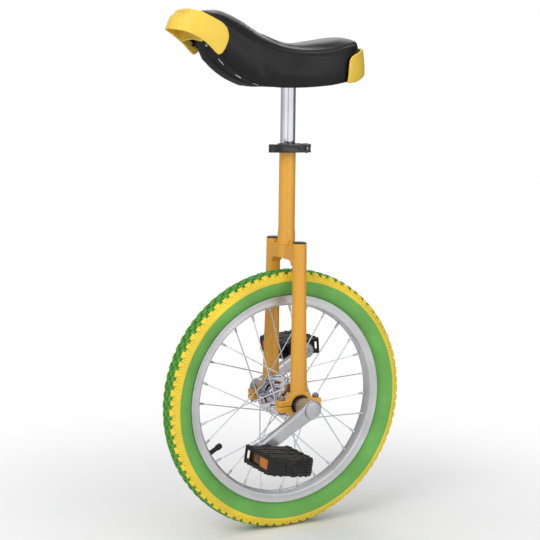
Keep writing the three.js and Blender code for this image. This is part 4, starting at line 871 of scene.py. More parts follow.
# Nose to tail: place, half width, middle of the top, seam on the top edge, cover's lower edge, underside
# of the tray, and half the width of the tray's floor.
SADDLE = [
    Row(0.1770, 0.0300, 0.8850, 0.8760, 0.8500, 0.8460, 0.012),
    Row(0.1720, 0.0390, 0.8890, 0.8810, 0.8440, 0.8300, 0.012),
    Row(0.1620, 0.0440, 0.8915, 0.8840, 0.8360, 0.8150, 0.012),
    Row(0.1490, 0.0460, 0.8925, 0.8800, 0.8250, 0.8040, 0.012),
    Row(0.1370, 0.0470, 0.8925, 0.8740, 0.8115, 0.7935, 0.013),
    Row(0.1160, 0.0480, 0.8850, 0.8610, 0.7930, 0.7808, 0.015),
    Row(0.0970, 0.0500, 0.8755, 0.8505, 0.7810, 0.7735, 0.019),
    Row(0.0740, 0.0540, 0.8615, 0.8400, 0.7705, 0.7678, 0.030),
    Row(0.0510, 0.0600, 0.8505, 0.8325, 0.7665, 0.7660, 0.044),
    Row(0.0270, 0.0660, 0.8415, 0.8280, 0.7660, 0.7660, 0.055),
    Row(-0.0020, 0.0750, 0.8385, 0.8255, 0.7670, 0.7670, 0.064),
    Row(-0.0400, 0.0810, 0.8435, 0.8270, 0.7705, 0.7705, 0.070),
    Row(-0.0680, 0.0800, 0.8480, 0.8350, 0.7755, 0.7755, 0.069),
    Row(-0.0900, 0.0730, 0.8510, 0.8420, 0.7790, 0.7790, 0.062),
    Row(-0.1060, 0.0600, 0.8510, 0.8455, 0.7820, 0.7820, 0.049),
    Row(-0.1170, 0.0450, 0.8480, 0.8445, 0.7845, 0.7845, 0.034),
    Row(-0.1275, 0.0280, 0.8420, 0.8395, 0.7870, 0.7870, 0.017),
    Row(-0.1335, 0.0140, 0.8330, 0.8310, 0.7900, 0.7890, 0.003),
]
SADDLE_FINE = [Row(*values) for values in curve_through(SADDLE, 4)]
ROLL_UNDER = 0.016
TRAY_INSET = 0.0105
TRAY_WALL = 0.0035


def saddle_at(x):
    """The saddle's row at a place along it."""
    for front, rear in zip(SADDLE_FINE, SADDLE_FINE[1:]):
        if rear.x <= x <= front.x:
            t = (front.x - x) / (front.x - rear.x)
            return Row(*(a + (b - a) * t for a, b in zip(front, rear)))
    return SADDLE_FINE[0] if x > 0 else SADDLE_FINE[-1]


NOSE_FROM, NOSE_LENGTH = 0.155, 0.022
TAIL_FROM, TAIL_LENGTH = -0.100, 0.0335


def drawn_in(row, inset):
    """Where a row lies once the skin is drawn in by an inset: only the nose and the tail move."""
    if row.x > 0:
        return row.x - inset * min(max((row.x - NOSE_FROM) / NOSE_LENGTH, 0.0), 1.0)
    return row.x + inset * min(max((TAIL_FROM - row.x) / TAIL_LENGTH, 0.0), 1.0)


# Shares of the half width and of the height: first up the side to the seam, then over the crown.
SIDE_SHAPE = [(0.0, -0.02), (0.3, -0.02), (0.58, 0.0), (0.86, 0.11), (0.97, 0.30), (1.0, 0.55), (0.985, 0.80),
              (0.955, 0.93), (0.93, 1.0)]
CROWN_SHAPE = [(0.93, 0.0), (0.84, 0.25), (0.70, 0.52), (0.50, 0.78), (0.26, 0.95), (0.0, 1.0)]


def pad_ring(row, inset=0.0):
    """A section of the padded saddle: swelling sides up to a seam, and a crowned top between the seams."""
    low = row.skirt - ROLL_UNDER + inset
    seam = row.seam - inset
    top = row.top - inset
    wide = row.half - inset
    side = [(out * wide, low + up * (seam - low)) for out, up in curve_through(SIDE_SHAPE, 3)]
    crown = [(out * wide, seam + up * (top - seam)) for out, up in curve_through(CROWN_SHAPE, 3)]
    half = side + crown[1:]
    other = [(-y, z) for y, z in half[-2:0:-1]]
    x = drawn_in(row, inset)
    lean = smoothstep(-0.075, -0.128, row.x)
    ring = []
    for y, z in half + other:
        up = min(max((z - low) / (top - low), 0.0), 1.0) ** 2
        ring.append((x + 0.006 * lean * up, y * (1 - 0.10 * lean * up), z))
    return ring


def pad(inset):
    return loft([pad_ring(row, inset) for row in SADDLE_FINE])


def below_line(height):
    """Everything below a line along the saddle, straight across."""
    line = [(row.x, height(row)) for row in SADDLE_FINE]
    (front, front_z), (rear, rear_z) = line[0], line[-1]
    past, floor_z = 0.06, 0.66
    outline = [(front + past, front_z), *line, (rear - past, rear_z), (rear - past, floor_z),
               (front + past, floor_z)]
    return prism(outline, -0.12, 0.12)


def swell(obj, cap, frames=20):
    """Blows a closed skin up a little with cloth simulation, so that it pulls and bulges like padding."""
    start = [v.co.copy() for v in obj.data.vertices]
    normals = [v.normal.copy() for v in obj.data.vertices]
    cloth = obj.modifiers.new("cloth", "CLOTH")
    settings = cloth.settings
    settings.use_pressure = True
    settings.uniform_pressure_force = 4.0
    settings.effector_weights.gravity = 0.0
    settings.tension_stiffness = 18
    settings.compression_stiffness = 18
    settings.bending_stiffness = 0.6
    cloth.point_cache.frame_start = 1
    cloth.point_cache.frame_end = frames
    scene = bpy.context.scene
    for number in range(1, frames + 1):
        scene.frame_set(number)
    bake(obj)
    scene.frame_set(1)
    for vertex, place, normal in zip(obj.data.vertices, start, normals):
        step = vertex.co - place
        sunk = step.dot(normal)
        if sunk < 0:
            step -= normal * sunk
        if step.length > cap:
            step *= cap / step.length
        vertex.co = place + step


def emboss_seams(obj):
    """Presses a fine channel into the padding, just inside each top edge, with a raised welt beside it."""
    channel_depth, channel_width = 0.0016, 0.0020
    welt_height, welt_width = 0.0009, 0.0022
    normals = [v.normal.copy() for v in obj.data.vertices]
    for vertex, normal in zip(obj.data.vertices, normals):
        row = saddle_at(vertex.co.x)
        if vertex.co.z < row.seam - 0.012:
            continue
        out = abs(vertex.co.y) / row.half
        groove = (out - 0.84) * row.half / channel_width
        welt = (out - 0.91) * row.half / welt_width
        fade = smoothstep(0.175, 0.150, vertex.co.x) * smoothstep(-0.130, -0.112, vertex.co.x)
        vertex.co -= normal * channel_depth * math.exp(-groove * groove) * fade
        vertex.co += normal * welt_height * math.exp(-welt * welt) * fade


def hem_path(cover):
    """The lower edge of the finished cover, as a closed line round the saddle."""
    middle, parts = 0.02, 120
    reach = [0.0] * parts
    path = [None] * parts
    for vertex in cover.data.vertices:
        place = vertex.co
        if place.z < saddle_at(place.x).skirt + 0.0022:
            part = int(math.atan2(place.y, place.x - middle) / TURN % 1 * parts)
            far = math.hypot(place.x - middle, place.y)
            if far > reach[part]:
                reach[part] = far
                out = Vector((vertex.normal.x, vertex.normal.y, 0)).normalized()
                path[part] = place - out * 0.0008
    path = [place for place in path if place]
    for _ in range(3):
        path = [(before + 2 * here + after) / 4
                for before, here, after in zip(path[-1:] + path[:-1], path, path[1:] + path[:1])]
    return [(place.x, place.y, saddle_at(place.x).skirt + 0.0006) for place in path]


def open_below(obj):
    """Takes away the flat faces that a cut along the cover's lower edge leaves."""
    work = bmesh.new()
    work.from_mesh(obj.data)
    under = []
    for face in work.faces:
        middle = face.calc_center_median()
        if face.normal.z < -0.5 and middle.z < saddle_at(middle.x).skirt + 0.0012:
            under.append(face)
    bmesh.ops.delete(work, geom=under, context="FACES")
    work.to_mesh(obj.data)
    work.free()


def cover_edge(row):
    return row.skirt + 0.0005


def saddle_cover():
    """The padded cover, blown up by cloth simulation and open below, with a hem along its lower edge."""
    start = 0.0026
    swelling = 0.0032
    obj = solid("cover", pad(start))
    modify(obj, "REMESH", mode="VOXEL", voxel_size=0.0042)
    swell(obj, swelling)
    modify(obj, "SMOOTH", factor=0.5, iterations=2)
    modify(obj, "SUBSURF", levels=1, render_levels=1)
    emboss_seams(obj)
    boolean(obj, below_line(cover_edge))
    open_below(obj)
    modify(obj, "SOLIDIFY", thickness=0.0018, offset=-1)
    hem = wire(hem_path(obj), 0.0014, 10, True)
    piece("saddle_skin", obj, "seat", VINYL, "saddle_cover", angle=55)
    piece("cover_hem", hem, "seat", VINYL, angle=60)


def tray_top(row):
    return max(row.under + 0.015, row.skirt + 0.008)


def foam_bottom(row):
    return tray_top(row) + 0.0006


def saddle_foam():
    """The padding, drawn in under the cover and cut off above the tray."""
    obj = solid("foam", pad(0.0110))
    boolean(obj, below_line(foam_bottom))
    melt(obj, 0.003, 3)
    piece("saddle_padding", obj, "seat", FOAM, "saddle_foam", angle=60)


def lofted_across(inset, half_section):
    """Sections across the saddle, each given for a row as its left half from low to high."""
    rings = []
    for row in SADDLE_FINE:
        half = half_section(row)
        x = drawn_in(row, inset)
        rings.append([(x, y, z) for y, z in half + [(-y, z) for y, z in reversed(half)]])
    return loft(rings)


CLOSED_FROM = 0.062


def shoulder_of(row):
    """The height where the tray's sloping flanks meet its upright sides."""
    return max(row.skirt - 0.001, row.under + 0.001)


def tray_half(row):
    """Half widths of the tray's sides and of its floor, and the height of its shoulder."""
    wide = max(row.half - TRAY_INSET, 0.001)
    return wide, min(row.floor, wide - 0.0002), shoulder_of(row)


def tray_block(row):
    wide, narrow, shoulder = tray_half(row)
    return [(narrow, row.under), (wide, shoulder), (wide, row.top)]


def tray_room(row):
    """The space inside the tray. It opens through the floor, except toward the nose."""
    wide, narrow, shoulder = tray_half(row)
    slope = (wide - narrow) / (shoulder - row.under)
    shift = TRAY_WALL * math.hypot(1, slope)
    drop = -TRAY_WALL if row.x > CLOSED_FROM else min(0.005, (narrow - shift - 0.0005) / slope)
    inner = max(wide - TRAY_WALL, 0.001)
    bend = shoulder + (shift - TRAY_WALL) / slope
    foot = min(max(narrow - shift - drop * slope, 0.0005), inner - 0.0002)
    return [(foot, min(row.under - drop, bend - 0.0005)), (inner, bend), (inner, row.top)]


def room_top(row):
    return tray_top(row) - TRAY_WALL


def flank(x, share, side, lift=0.0):
    """A point on the tray's sloping flank, a share of the way from its shoulder down to its floor."""
    row = saddle_at(x)
    wide = row.half - TRAY_INSET
    shoulder = shoulder_of(row)
    slope = Vector((0, row.floor - wide, row.under - shoulder))
    out = Vector((0, -slope.z, slope.y)).normalized()
    point = Vector((x, wide, shoulder)) + slope * share + out * lift
    return Vector((point.x, side * point.y, point.z))


def saddle_base():
    """A stiff tray under the padding, with cross ribs inside and moulded lines outside."""
    obj = solid("base", lofted_across(TRAY_INSET, tray_block))
    boolean(obj, below_line(tray_top), "INTERSECT")
    room = solid("room", lofted_across(TRAY_INSET + TRAY_WALL, tray_room))
    boolean(room, below_line(room_top), "INTERSECT")
    space = ([v.co.copy() for v in room.data.vertices], [tuple(f.vertices) for f in room.data.polygons])
    bpy.data.objects.remove(room)
    boolean(obj, space)
    for x in (BOLT_X, -BOLT_X):
        for y in (BOLT_Y, -BOLT_Y):
            drill(obj, 0.0032, 0.76, 0.80, 20, x=x, y=y)
    bevel(obj, 0.0008, 2, 45)
    piece("saddle_tray", obj, "seat", BASE_PLASTIC, "saddle_base", angle=35)
    tray_lines()
    tray_ribs()


def tray_lines():
    places = [0.074 + 0.0060 * i for i in range(14)]
    for number, share in enumerate((0.18, 0.86)):
        for name, side in SIDES:
            path = [flank(x, share, side, 0.0004) for x in places]
            piece(f"tray_line_{name}_{number}", wire(path, 0.0009, 8), "seat", BASE_PLASTIC)


def tray_ribs():
    for number, x in enumerate((0.150, 0.128, 0.104, 0.080, -0.070, -0.092)):
        row = saddle_at(x)
        wall = row.half - TRAY_INSET - 0.0045
        low = max(row.skirt, row.under + 0.004)
        rib = block(x - 0.001, x + 0.001, -wall, wall, low + 0.002, tray_top(row) - 0.002)
        piece(f"tray_rib_{number}", rib, "seat", BASE_PLASTIC, (), 0.0003)


def staples():
    """The staples that hold the cover to the tray."""
    number = 0
    for x, sides in ((0.140, (1,)), (0.110, (1, -1)), (0.081, (1, -1))):
        for side in sides:
            legs = [flank(x + 0.0045, 0.42, side, lift) for lift in (-0.002, 0.0006)]
            back = [flank(x - 0.0045, 0.42, side, lift) for lift in (0.0006, -0.002)]
            piece(f"staple_{number}", wire(legs + back, 0.0006, 8), "seat", SPOKE_STEEL)
            number += 1


# The band of the front bumper from the rear of its left flap to the nose: a place seen from above, its
# lower edge, the crease on its outside, its upper rim, and how far the rim leans in from the outside.
BUMPER = [
    (0.1365, 0.0490, 0.8430, 0.8520, 0.8560, 0.0020),
    (0.1395, 0.0497, 0.8350, 0.8590, 0.8625, 0.0028),
    (0.1435, 0.0502, 0.8270, 0.8625, 0.8665, 0.0036),
    (0.1490, 0.0504, 0.8195, 0.8650, 0.8705, 0.0044),
    (0.1550, 0.0504, 0.8172, 0.8670, 0.8735, 0.0050),
    (0.1615, 0.0500, 0.8220, 0.8690, 0.8765, 0.0058),
    (0.1700, 0.0492, 0.8305, 0.8715, 0.8805, 0.0070),
    (0.1780, 0.0478, 0.8372, 0.8745, 0.8845, 0.0085),
    (0.1860, 0.0456, 0.8425, 0.8775, 0.8870, 0.0105),
    (0.1940, 0.0424, 0.8470, 0.8795, 0.8880, 0.0120),
    (0.2020, 0.0380, 0.8512, 0.8800, 0.8875, 0.0125),
    (0.2100, 0.0318, 0.8540, 0.8795, 0.8860, 0.0125),
    (0.2165, 0.0242, 0.8555, 0.8780, 0.8838, 0.0120),
    (0.2212, 0.0150, 0.8565, 0.8765, 0.8820, 0.0112),
    (0.2238, 0.0070, 0.8572, 0.8755, 0.8808, 0.0106),
]
WEB_BACK, WEB_FRONT = 0.1785, 0.1820
SHELL = 0.0032


def lean_back(x):
    """How far the bumper's face leans back from its lower edge up to its crease, most at the nose."""
    return 0.0008 + 0.0075 * smoothstep(0.186, 0.224, x)


def bumper_band():
    """The band round the nose, as one section for each place in BUMPER and for its mirror image."""
    right = [(x, -y, *rest) for x, y, *rest in reversed(BUMPER)]
    line = BUMPER + right
    rings = []
    for i, (x, y, low, crease, rim, lean) in enumerate(line):
        before = line[max(i - 1, 0)]
        after = line[min(i + 1, len(line) - 1)]
        along = Vector((after[0] - before[0], after[1] - before[1])).normalized()
        inward = Vector((along.y, -along.x))
        if inward.dot(Vector((0.14 - x, -y))) < 0:
            inward = -inward
        ring = []
        back = lean_back(x)
        for step, z in ((0.0006, low), (0.0, low + 0.0012), (back * 0.45 - 0.0003, (low + crease) / 2),
                        (back, crease), (back + lean, rim), (back + lean + 0.0034, rim - 0.0022),
                        (back + SHELL + 0.0004, crease - 0.0028), (back * 0.45 + SHELL, (low + crease) / 2),
                        (SHELL + 0.0006, low + 0.0002)):
            ring.append((x + inward.x * step, y + inward.y * step, z))
        rings.append(ring)
    return loft(rings)


def bumper_roof():
    """The sloping top between the two rims, from the nose back to the padding."""
    rings = []
    for x, y, _, _, rim, lean in BUMPER[7:]:
        reach = lean + lean_back(x)
        wide = max(y - reach * 0.6, 0.0015)
        back = x - reach * (0.1 + 0.9 * smoothstep(0.194, 0.224, x))
        crown = 0.0035 * smoothstep(0.230, 0.185, x)
        half = [(wide, rim - 0.0006), (wide * 0.55, rim + crown * 0.7), (0.0, rim + crown)]
        top = half + [(-a, z) for a, z in half[-2::-1]]
        ring = [(back, a, z) for a, z in top] + [(back, a, z - 0.0030) for a, z in reversed(top)]
        rings.append(ring)
    return loft(rings)


def across(half, sign=1):
    """A line across the saddle from its left half, which ends on the middle."""
    whole = half + [(-y, z) for y, z in half[-2::-1]]
    return whole if sign > 0 else [(-y, z) for y, z in whole]


def front_bumper():
    """A visor round the nose, with a web in front of the padding and an arch below for the fingers."""
    arch = [(0.0455, 0.8392), (0.0400, 0.8394), (0.0300, 0.8404), (0.0150, 0.8425), (0.0, 0.8432)]
    web = [(0.0455, 0.8740), (0.0395, 0.8830), (0.0300, 0.8868), (0.0, 0.8895)]
    plate = prism(across(arch) + across(web, -1), WEB_BACK, WEB_FRONT, "YZ")
    lip = wire([(0.1812, y, z) for y, z in across(arch)[1:-1]], 0.0019, 10)
    obj = solid("bumper", merged(bumper_band(), bumper_roof(), plate, lip))
    melt(obj, 0.0009, 3)
    boolean(obj, pad(-0.0006))
    piece("nose_bumper", obj, "seat", YELLOW_PLASTIC, "front_bumper", angle=60)
    head = [(0, 0.0), (0.0028, 0.0), (0.0030, 0.0005), (0.0024, 0.0014), (0.0010, 0.0017), (0, 0.0017)]
    for name, side in SIDES:
        tilt = Matrix.Rotation(math.radians(-35 * side), 4, "X") @ Matrix.Diagonal((1, side, 1, 1))
        screw = moved(lathe(head, 24), Matrix.Translation(flank(0.166, 0.3, side, 0.0002)) @ tilt)
        piece(f"bumper_screw_{name}", screw, "seat", BOLT_STEEL, angle=30)


def rear_bumper():
    """A shell over the tail, cut out between the padding and a curved line seen from the side."""
    outer = solid("tail", pad(-0.0050))
    keep = curve_through([(-0.0700, 0.7735), (-0.0695, 0.7900), (-0.0702, 0.8060), (-0.0725, 0.8135),
                          (-0.0780, 0.8188), (-0.0900, 0.8235), (-0.1150, 0.8300), (-0.1450, 0.8350)], 4)
    keep += [(-0.1450, 0.7890), (-0.1280, 0.7860), (-0.1100, 0.7810), (-0.0900, 0.7750)]
    boolean(outer, prism(keep, -0.09, 0.09), "INTERSECT")
    boolean(outer, pad(-0.0007))
    melt(outer, 0.0010, 14)
    piece("tail_bumper", outer, "seat", YELLOW_PLASTIC, "rear_bumper", angle=60)


# ---------------------------------------------------------------- wheel

WELL = 0.1652
VALVE_ANGLE = math.radians(-29.9)


def flipped(points):
    return [(r, -y) for r, y in points]


def channel(outer, inner):
    return outer + flipped(outer)[::-1] + flipped(inner) + inner[::-1]


def on_valve(shape):
    """Puts a shape made along +Y from the axle onto the valve's line."""
    return turned_about_axle(moved(shape, Matrix.Rotation(math.radians(-90), 4, "Z")), VALVE_ANGLE)


def tyre_carcass():
    outside = [(0.1772, 0.0104), (0.1848, 0.0106), (0.1862, 0.0124), (0.1885, 0.0165), (0.1930, 0.0201),
               (0.1990, 0.0226), (0.2060, 0.0236), (0.2105, 0.0232), (0.2140, 0.0210), (0.2168, 0.0180),
               (0.2186, 0.0138), (0.2198, 0.0080), (0.2202, 0.0)]
    inside = [(0.1772, 0.0078), (0.1870, 0.0082), (0.1910, 0.0148), (0.1990, 0.0194), (0.2070, 0.0204),
              (0.2140, 0.0172), (0.2180, 0.0100)]
    profile = [(r, y) for r, y in curve_through(outside, 3) if y > 0]
    piece("tyre_carcass", at_axle(lathe(channel(profile, inside), 240)), "wheel", GREEN_RUBBER,
          "tyre", angle=50)


CROWN_RADIUS = 0.2280
SHOULDER_BASE = 0.2080


def crown(y):
    """The radius of the tread's top at a place across the tyre."""
    return CROWN_RADIUS - 0.0102 * (abs(y) / 0.0225) ** 2.9


def tread_block(angle, span, y_low, y_high, lift, base=0.2130, skew=0.0):
    """One rubber block: its top follows the tyre's crown, and its sides lean in."""
    y_low, y_high = sorted((y_low, y_high))
    corners = []
    for level in (0, 1):
        shrink = 0.0004 * level
        low, high = y_low + shrink, y_high - shrink
        half = span / 2 - shrink
        for y, along in ((low, -half), (high, -half), (high, half), (low, half)):
            radius = base if level == 0 else crown(y) - lift
            turn = angle + (along + skew * (y - y_low)) / 0.2250
            corners.append((radius * math.cos(turn), y, radius * math.sin(turn)))
    faces = [(0, 1, 2, 3), (4, 5, 6, 7), (0, 1, 5, 4), (1, 2, 6, 5), (2, 3, 7, 6), (3, 0, 4, 7)]
    return corners, faces


PITCHES = 84


def shoulder_tread(name, side):
    """A yellow band on one shoulder, with fine ribs and blocks of two lengths in turn."""
    band = curve_through([(0.2092, 0.0234), (0.2100, 0.0242), (0.2120, 0.0240), (0.2142, 0.0231),
                          (0.2162, 0.0217), (0.2182, 0.0197), (0.2200, 0.0168), (0.2208, 0.0136)], 3)
    band += [(0.2186, 0.0130), (0.2150, 0.0176), (0.2120, 0.0206), (0.2092, 0.0220)]
    shapes = [lathe([(r, side * y) for r, y in band], 240)]
    for i in range(PITCHES):
        angle = TURN * (i + (0.0 if side > 0 else 0.5)) / PITCHES
        span, low, high = (0.0122, 0.0136, 0.0184) if i % 2 == 0 else (0.0098, 0.0150, 0.0176)
        shapes.append(tread_block(angle, span, side * low, side * high, 0.0))
        for shift, span, lift in ((-0.4, 0.0052, 0.0004), (2.8, 0.0034, 0.0014)):
            shapes.append(tread_block(angle + shift / PITCHES, span, side * 0.0168, side * 0.0206, lift,
                                      SHOULDER_BASE))
        for step in range(3):
            turn = angle + TURN * step / 3 / PITCHES
            shapes.append(tread_block(turn, 0.0032, side * 0.0200, side * 0.0227,
                                      0.0004 + 0.0004 * (step % 2), SHOULDER_BASE))
    obj = solid("shoulder", at_axle(merged(*shapes)))
    bevel(obj, 0.0005, 2, 50)
    piece(f"{name}_shoulder_tread", obj, "wheel", YELLOW_RUBBER, angle=40)


def centre_tread():
    """Four rows of green knobs down the middle, each with a low bar behind it."""
    base = 0.2160
    knobs = []
    for i in range(PITCHES):
        for row, y in enumerate((-0.0104, -0.0036, 0.0036, 0.0104)):
            offset = (0.5, 0.08, -0.08, 0.42)[row] + random.uniform(-0.02, 0.02)
            angle = TURN * (i + offset) / PITCHES
            skew = 0.35 if row < 2 else -0.35
            lift = 0.0 if row in (1, 2) else 0.0012
            knobs.append(tread_block(angle, 0.0112, y - 0.0029, y + 0.0029, lift, base, skew))
            knobs.append(tread_block(angle + 0.5 * TURN / PITCHES, 0.0032, y - 0.0027, y + 0.0027, 0.0024,
                                     base, skew))
    obj = solid("knobs", at_axle(merged(*knobs)))
    bevel(obj, 0.0005, 2, 50)
    piece("centre_tread", obj, "wheel", GREEN_KNOBS, angle=40)


def valve_hole():
    return at_axle(on_valve(rod(0.0044, 0.160, 0.175, 24)))


def rim():
    hub_face = [(0.1835, 0.0112), (0.1837, 0.0118), (0.1833, 0.0124), (0.1820, 0.0125), (0.1800, 0.0121),
                (0.1735, 0.0121), (0.1712, 0.0126), (0.1700, 0.0125), (0.1688, 0.0116), (0.1676, 0.0096),
                (0.1660, 0.0062), (0.1652, 0.0040)]
    tyre_face = [(0.1828, 0.0108), (0.1770, 0.0110), (0.1764, 0.0084), (0.1694, 0.0064), (0.1673, 0.0052)]
    obj = solid("rim", at_axle(lathe(channel(hub_face, tyre_face), 240)))
    boolean(obj, valve_hole())
    piece("wheel_rim", obj, "wheel", RIM_ALLOY, "rim", angle=40)


def rim_tape():
    tape = [(0.1678, -0.0048), (0.1684, -0.0048), (0.1684, 0.0048), (0.1678, 0.0048)]
    obj = solid("tape", at_axle(lathe(tape, 180)))
    boolean(obj, valve_hole())
    piece("tape_band", obj, "wheel", TAPE_CLOTH, "rim_tape")


def tube_wall(half):
    """A closed ring round the wheel, from the left half of its section."""
    return lathe(half + flipped(half[-2::-1]), 160)


def inner_tube():
    """A hollow tube with its valve stem."""
    skin_half = [(0.1692, 0.0038), (0.1770, 0.0066), (0.1878, 0.0070), (0.1916, 0.0134), (0.1988, 0.0178),
                 (0.2052, 0.0190), (0.2108, 0.0176), (0.2150, 0.0126), (0.2168, 0.0)]
    room_half = [(0.1704, 0.0028), (0.1776, 0.0054), (0.1888, 0.0060), (0.1928, 0.0124), (0.1994, 0.0166),
                 (0.2052, 0.0178), (0.2102, 0.0164), (0.2140, 0.0116), (0.2156, 0.0)]
    stem = [(0, 0.1462), (0.0026, 0.1462), (0.0030, 0.1468), (0.0030, 0.1500), (0.0039, 0.1506),
            (0.0040, 0.1600), (0.0043, 0.1645), (0.0043, 0.1705), (0, 0.1705)]
    tube = merged(tube_wall(skin_half), tube_wall(room_half), on_valve(lathe(stem, 28)))
    piece("air_tube", at_axle(tube), "wheel", TUBE_RUBBER, "inner_tube")


def valve_cap():
    """A cap whose grip has fine ribs along it."""
    cap = [(0, 0.1402), (0.0030, 0.1404), (0.0044, 0.1414), (0.0050, 0.1432), (0.0050, 0.1496),
           (0.0046, 0.1502), (0.0042, 0.1502), (0.0042, 0.1464), (0, 0.1464)]
    vertices, faces = lathe(cap, 40)
    grip = []
    for index, (x, y, z) in enumerate(vertices):
        on_grip = 0.1440 < y < 0.1500 and math.hypot(x, z) > 0.0048
        ridge = on_grip and index // len(cap) % 2
        grow = (0.0049 + 0.0003) / 0.0049 if ridge else 1.0
        grip.append((x * grow, y, z * grow))
    piece("dust_cap", at_axle(on_valve((grip, faces))), "wheel", BLACK_PLASTIC, "valve_cap",
          angle=30)


FLANGE_Y = 0.034
HOLE_CIRCLE = 0.0315
SIDE_SPOKES = 14
FIRST_SPOKE = math.radians(92.3)
SPOKE_STEP = math.pi / SIDE_SPOKES


def spoke_lines(side):
    """For each spoke of a side: its angle at the rim, its angle at the hub, and whether it leads."""
    first = 0 if side > 0 else 1
    out = []
    for i in range(SIDE_SPOKES):
        rim_angle = FIRST_SPOKE + (first + 2 * i) * SPOKE_STEP
        lean = (1 if i % 2 == 0 else -1) * side
        out.append((rim_angle, rim_angle + lean * 6 * SPOKE_STEP, i % 2 == 0))
    return out


def polar(radius, angle, y=0.0):
    return radius * math.cos(angle), y, radius * math.sin(angle)


def hub():
    """The barrel, and a flange on each side with spoke holes and six slots."""
    barrel = [(0.0088, -0.0455), (0.0118, -0.0455), (0.0125, -0.0449), (0.0125, -0.0372),
              (0.0150, -0.0366), (0.0150, -0.0330), (0.0146, -0.0300), (0.0138, -0.0240),
              (0.0134, -0.0100), (0.0134, 0.0)]
    profile = barrel + flipped(barrel[-2::-1])
    piece("hub_barrel", at_axle(lathe(profile, 72)), "wheel", HUB_CHROME, "hub_shell", angle=32)
    for name, side in SIDES:
        holes = []
        for _, hub_angle, _ in spoke_lines(side):
            x, _, z = polar(HOLE_CIRCLE, hub_angle)
            holes.append(circle(x, z, 0.0014, 12))
        for i in range(6):
            middle = 40 + 60 * i
            outer = arc(0, 0, 0.0238, middle - 18, middle + 18, 10)
            inner = arc(0, 0, 0.0186, middle + 18, middle - 18, 10)
            holes.append(outer + inner)
        holes.append(circle(0, 0, 0.0128, 48))
        disc = prism(circle(0, 0, 0.0350, 120), side * FLANGE_Y - 0.0016, side * FLANGE_Y + 0.0016,
                     "XZ", holes)
        piece(f"hub_flange_{name}", at_axle(disc), "wheel", HUB_CHROME, (), 0.0004, 2)


def square(half, y):
    return [(half, y, half), (-half, y, half), (-half, y, -half), (half, y, -half)]


def axle():
    """A round bar with a square taper at each end, in line with the cranks."""
    bar = lathe([(0, -0.066), (0.0080, -0.066), (0.0085, -0.0655), (0.0085, 0.0655), (0.0080, 0.066),
                 (0, 0.066)], 56)
    tapers = [loft([square(0.0071, side * 0.064), square(0.0060, side * 0.0915)]) for _, side in SIDES]
    tapers = [turned_about_axle(taper, CRANK_ANGLE) for taper in tapers]
    piece("axle_bar", at_axle(merged(bar, *tapers)), "wheel", STEEL, "axle", 0.0003)


def spoke(side, rim_angle, hub_angle, leading):
    """A spoke with its head, elbow and nipple, woven at its outermost crossing."""
    end = Vector(polar(WELL - 0.0004, rim_angle, side * 0.0015))
    outside = side * (FLANGE_Y + 0.0028)
    inside = side * (FLANGE_Y - 0.0028)
    head_y, elbow_y = (inside, outside) if leading else (outside, inside)
    head = Vector(polar(HOLE_CIRCLE, hub_angle, head_y))
    elbow = Vector(polar(HOLE_CIRCLE, hub_angle, elbow_y))
    bend = elbow + (end - elbow).normalized() * 0.0024
    before = elbow + (head - elbow).normalized() * 0.0016
    crossing = elbow.lerp(end, 0.44)
    crossing.y += -side * 0.0021 if leading else side * 0.0021
    out = (end - crossing).normalized()
    neck = end - out * 0.0105
    body = [head, before, bend, crossing.lerp(bend, 0.25), crossing, crossing.lerp(end, 0.25), neck]
    knob = wire([head - (before - head).normalized() * 0.0008, head], [0.0018, 0.0019], 12)
    nipple = wire([neck - out * 0.0004, neck, neck + out * 0.0035, neck + out * 0.0042, end],
                  [0.0014, 0.0017, 0.0017, 0.0021, 0.0023], 14)
    obj = solid("spoke", at_axle(merged(wire(body, 0.0010, 10), knob, nipple)))
    obj.data.materials.append(SPOKE_STEEL)
    obj.data.materials.append(NIPPLE_BRASS)
    limit = math.hypot(neck.x, neck.z) - 0.0006
    for face in obj.data.polygons:
        if math.hypot(face.center.x, face.center.z - AXLE_Z) > limit:
            face.material_index = 1
    return obj


def spokes():
    number = 0
    for name, side in SIDES:
        for line in spoke_lines(side):
            stood_for = f"{name}_spokes" if number % SIDE_SPOKES == 0 else ()
            piece(f"spoke_{number:02d}", spoke(side, *line), "wheel", SPOKE_STEEL, stood_for,
                  angle=45)
            number += 1


# ---------------------------------------------------------------- cranks and pedals

CRANK_FACE = 0.1015
EYE_FACE = 0.1050


def crank_shape():
    """A forged crank, pointing forwards: boss, tapering arm and eye, fused with soft edges."""
    boss = lathe([(0, 0.066), (0.0136, 0.066), (0.0147, 0.0675), (0.0160, 0.086), (0.0169, 0.0995),
                  (0.0161, CRANK_FACE), (0, CRANK_FACE)], 72)
    sections = []
    for i in range(13):
        t = i / 12
        x = CRANK_LENGTH * t
        half = 0.0146 - 0.0024 * smoothstep(0.0, 0.45, t) - 0.0006 * smoothstep(0.6, 1.0, t)
        inner = 0.0875 + 0.0040 * t
        outer = CRANK_FACE + (EYE_FACE - CRANK_FACE) * t
        ring = []
        for y, z in ((inner, -0.6), (inner + 0.0016, -0.92), (outer - 0.0044, -1.0), (outer - 0.0024, -0.97),
                     (outer - 0.0002, -0.80), (outer, -0.72), (outer, 0.72), (outer - 0.0002, 0.80),
                     (outer - 0.0024, 0.97), (outer - 0.0044, 1.0), (inner + 0.0016, 0.92), (inner, 0.6)):
            ring.append((x, y, z * half))
        sections.append(ring)
    eye = lathe([(0, 0.0915), (0.0125, 0.0915), (0.0134, 0.0930), (0.0134, 0.1036), (0.0122, EYE_FACE),
                 (0, EYE_FACE)], 56)
    return merged(boss, loft(sections), shifted(eye, x=CRANK_LENGTH))


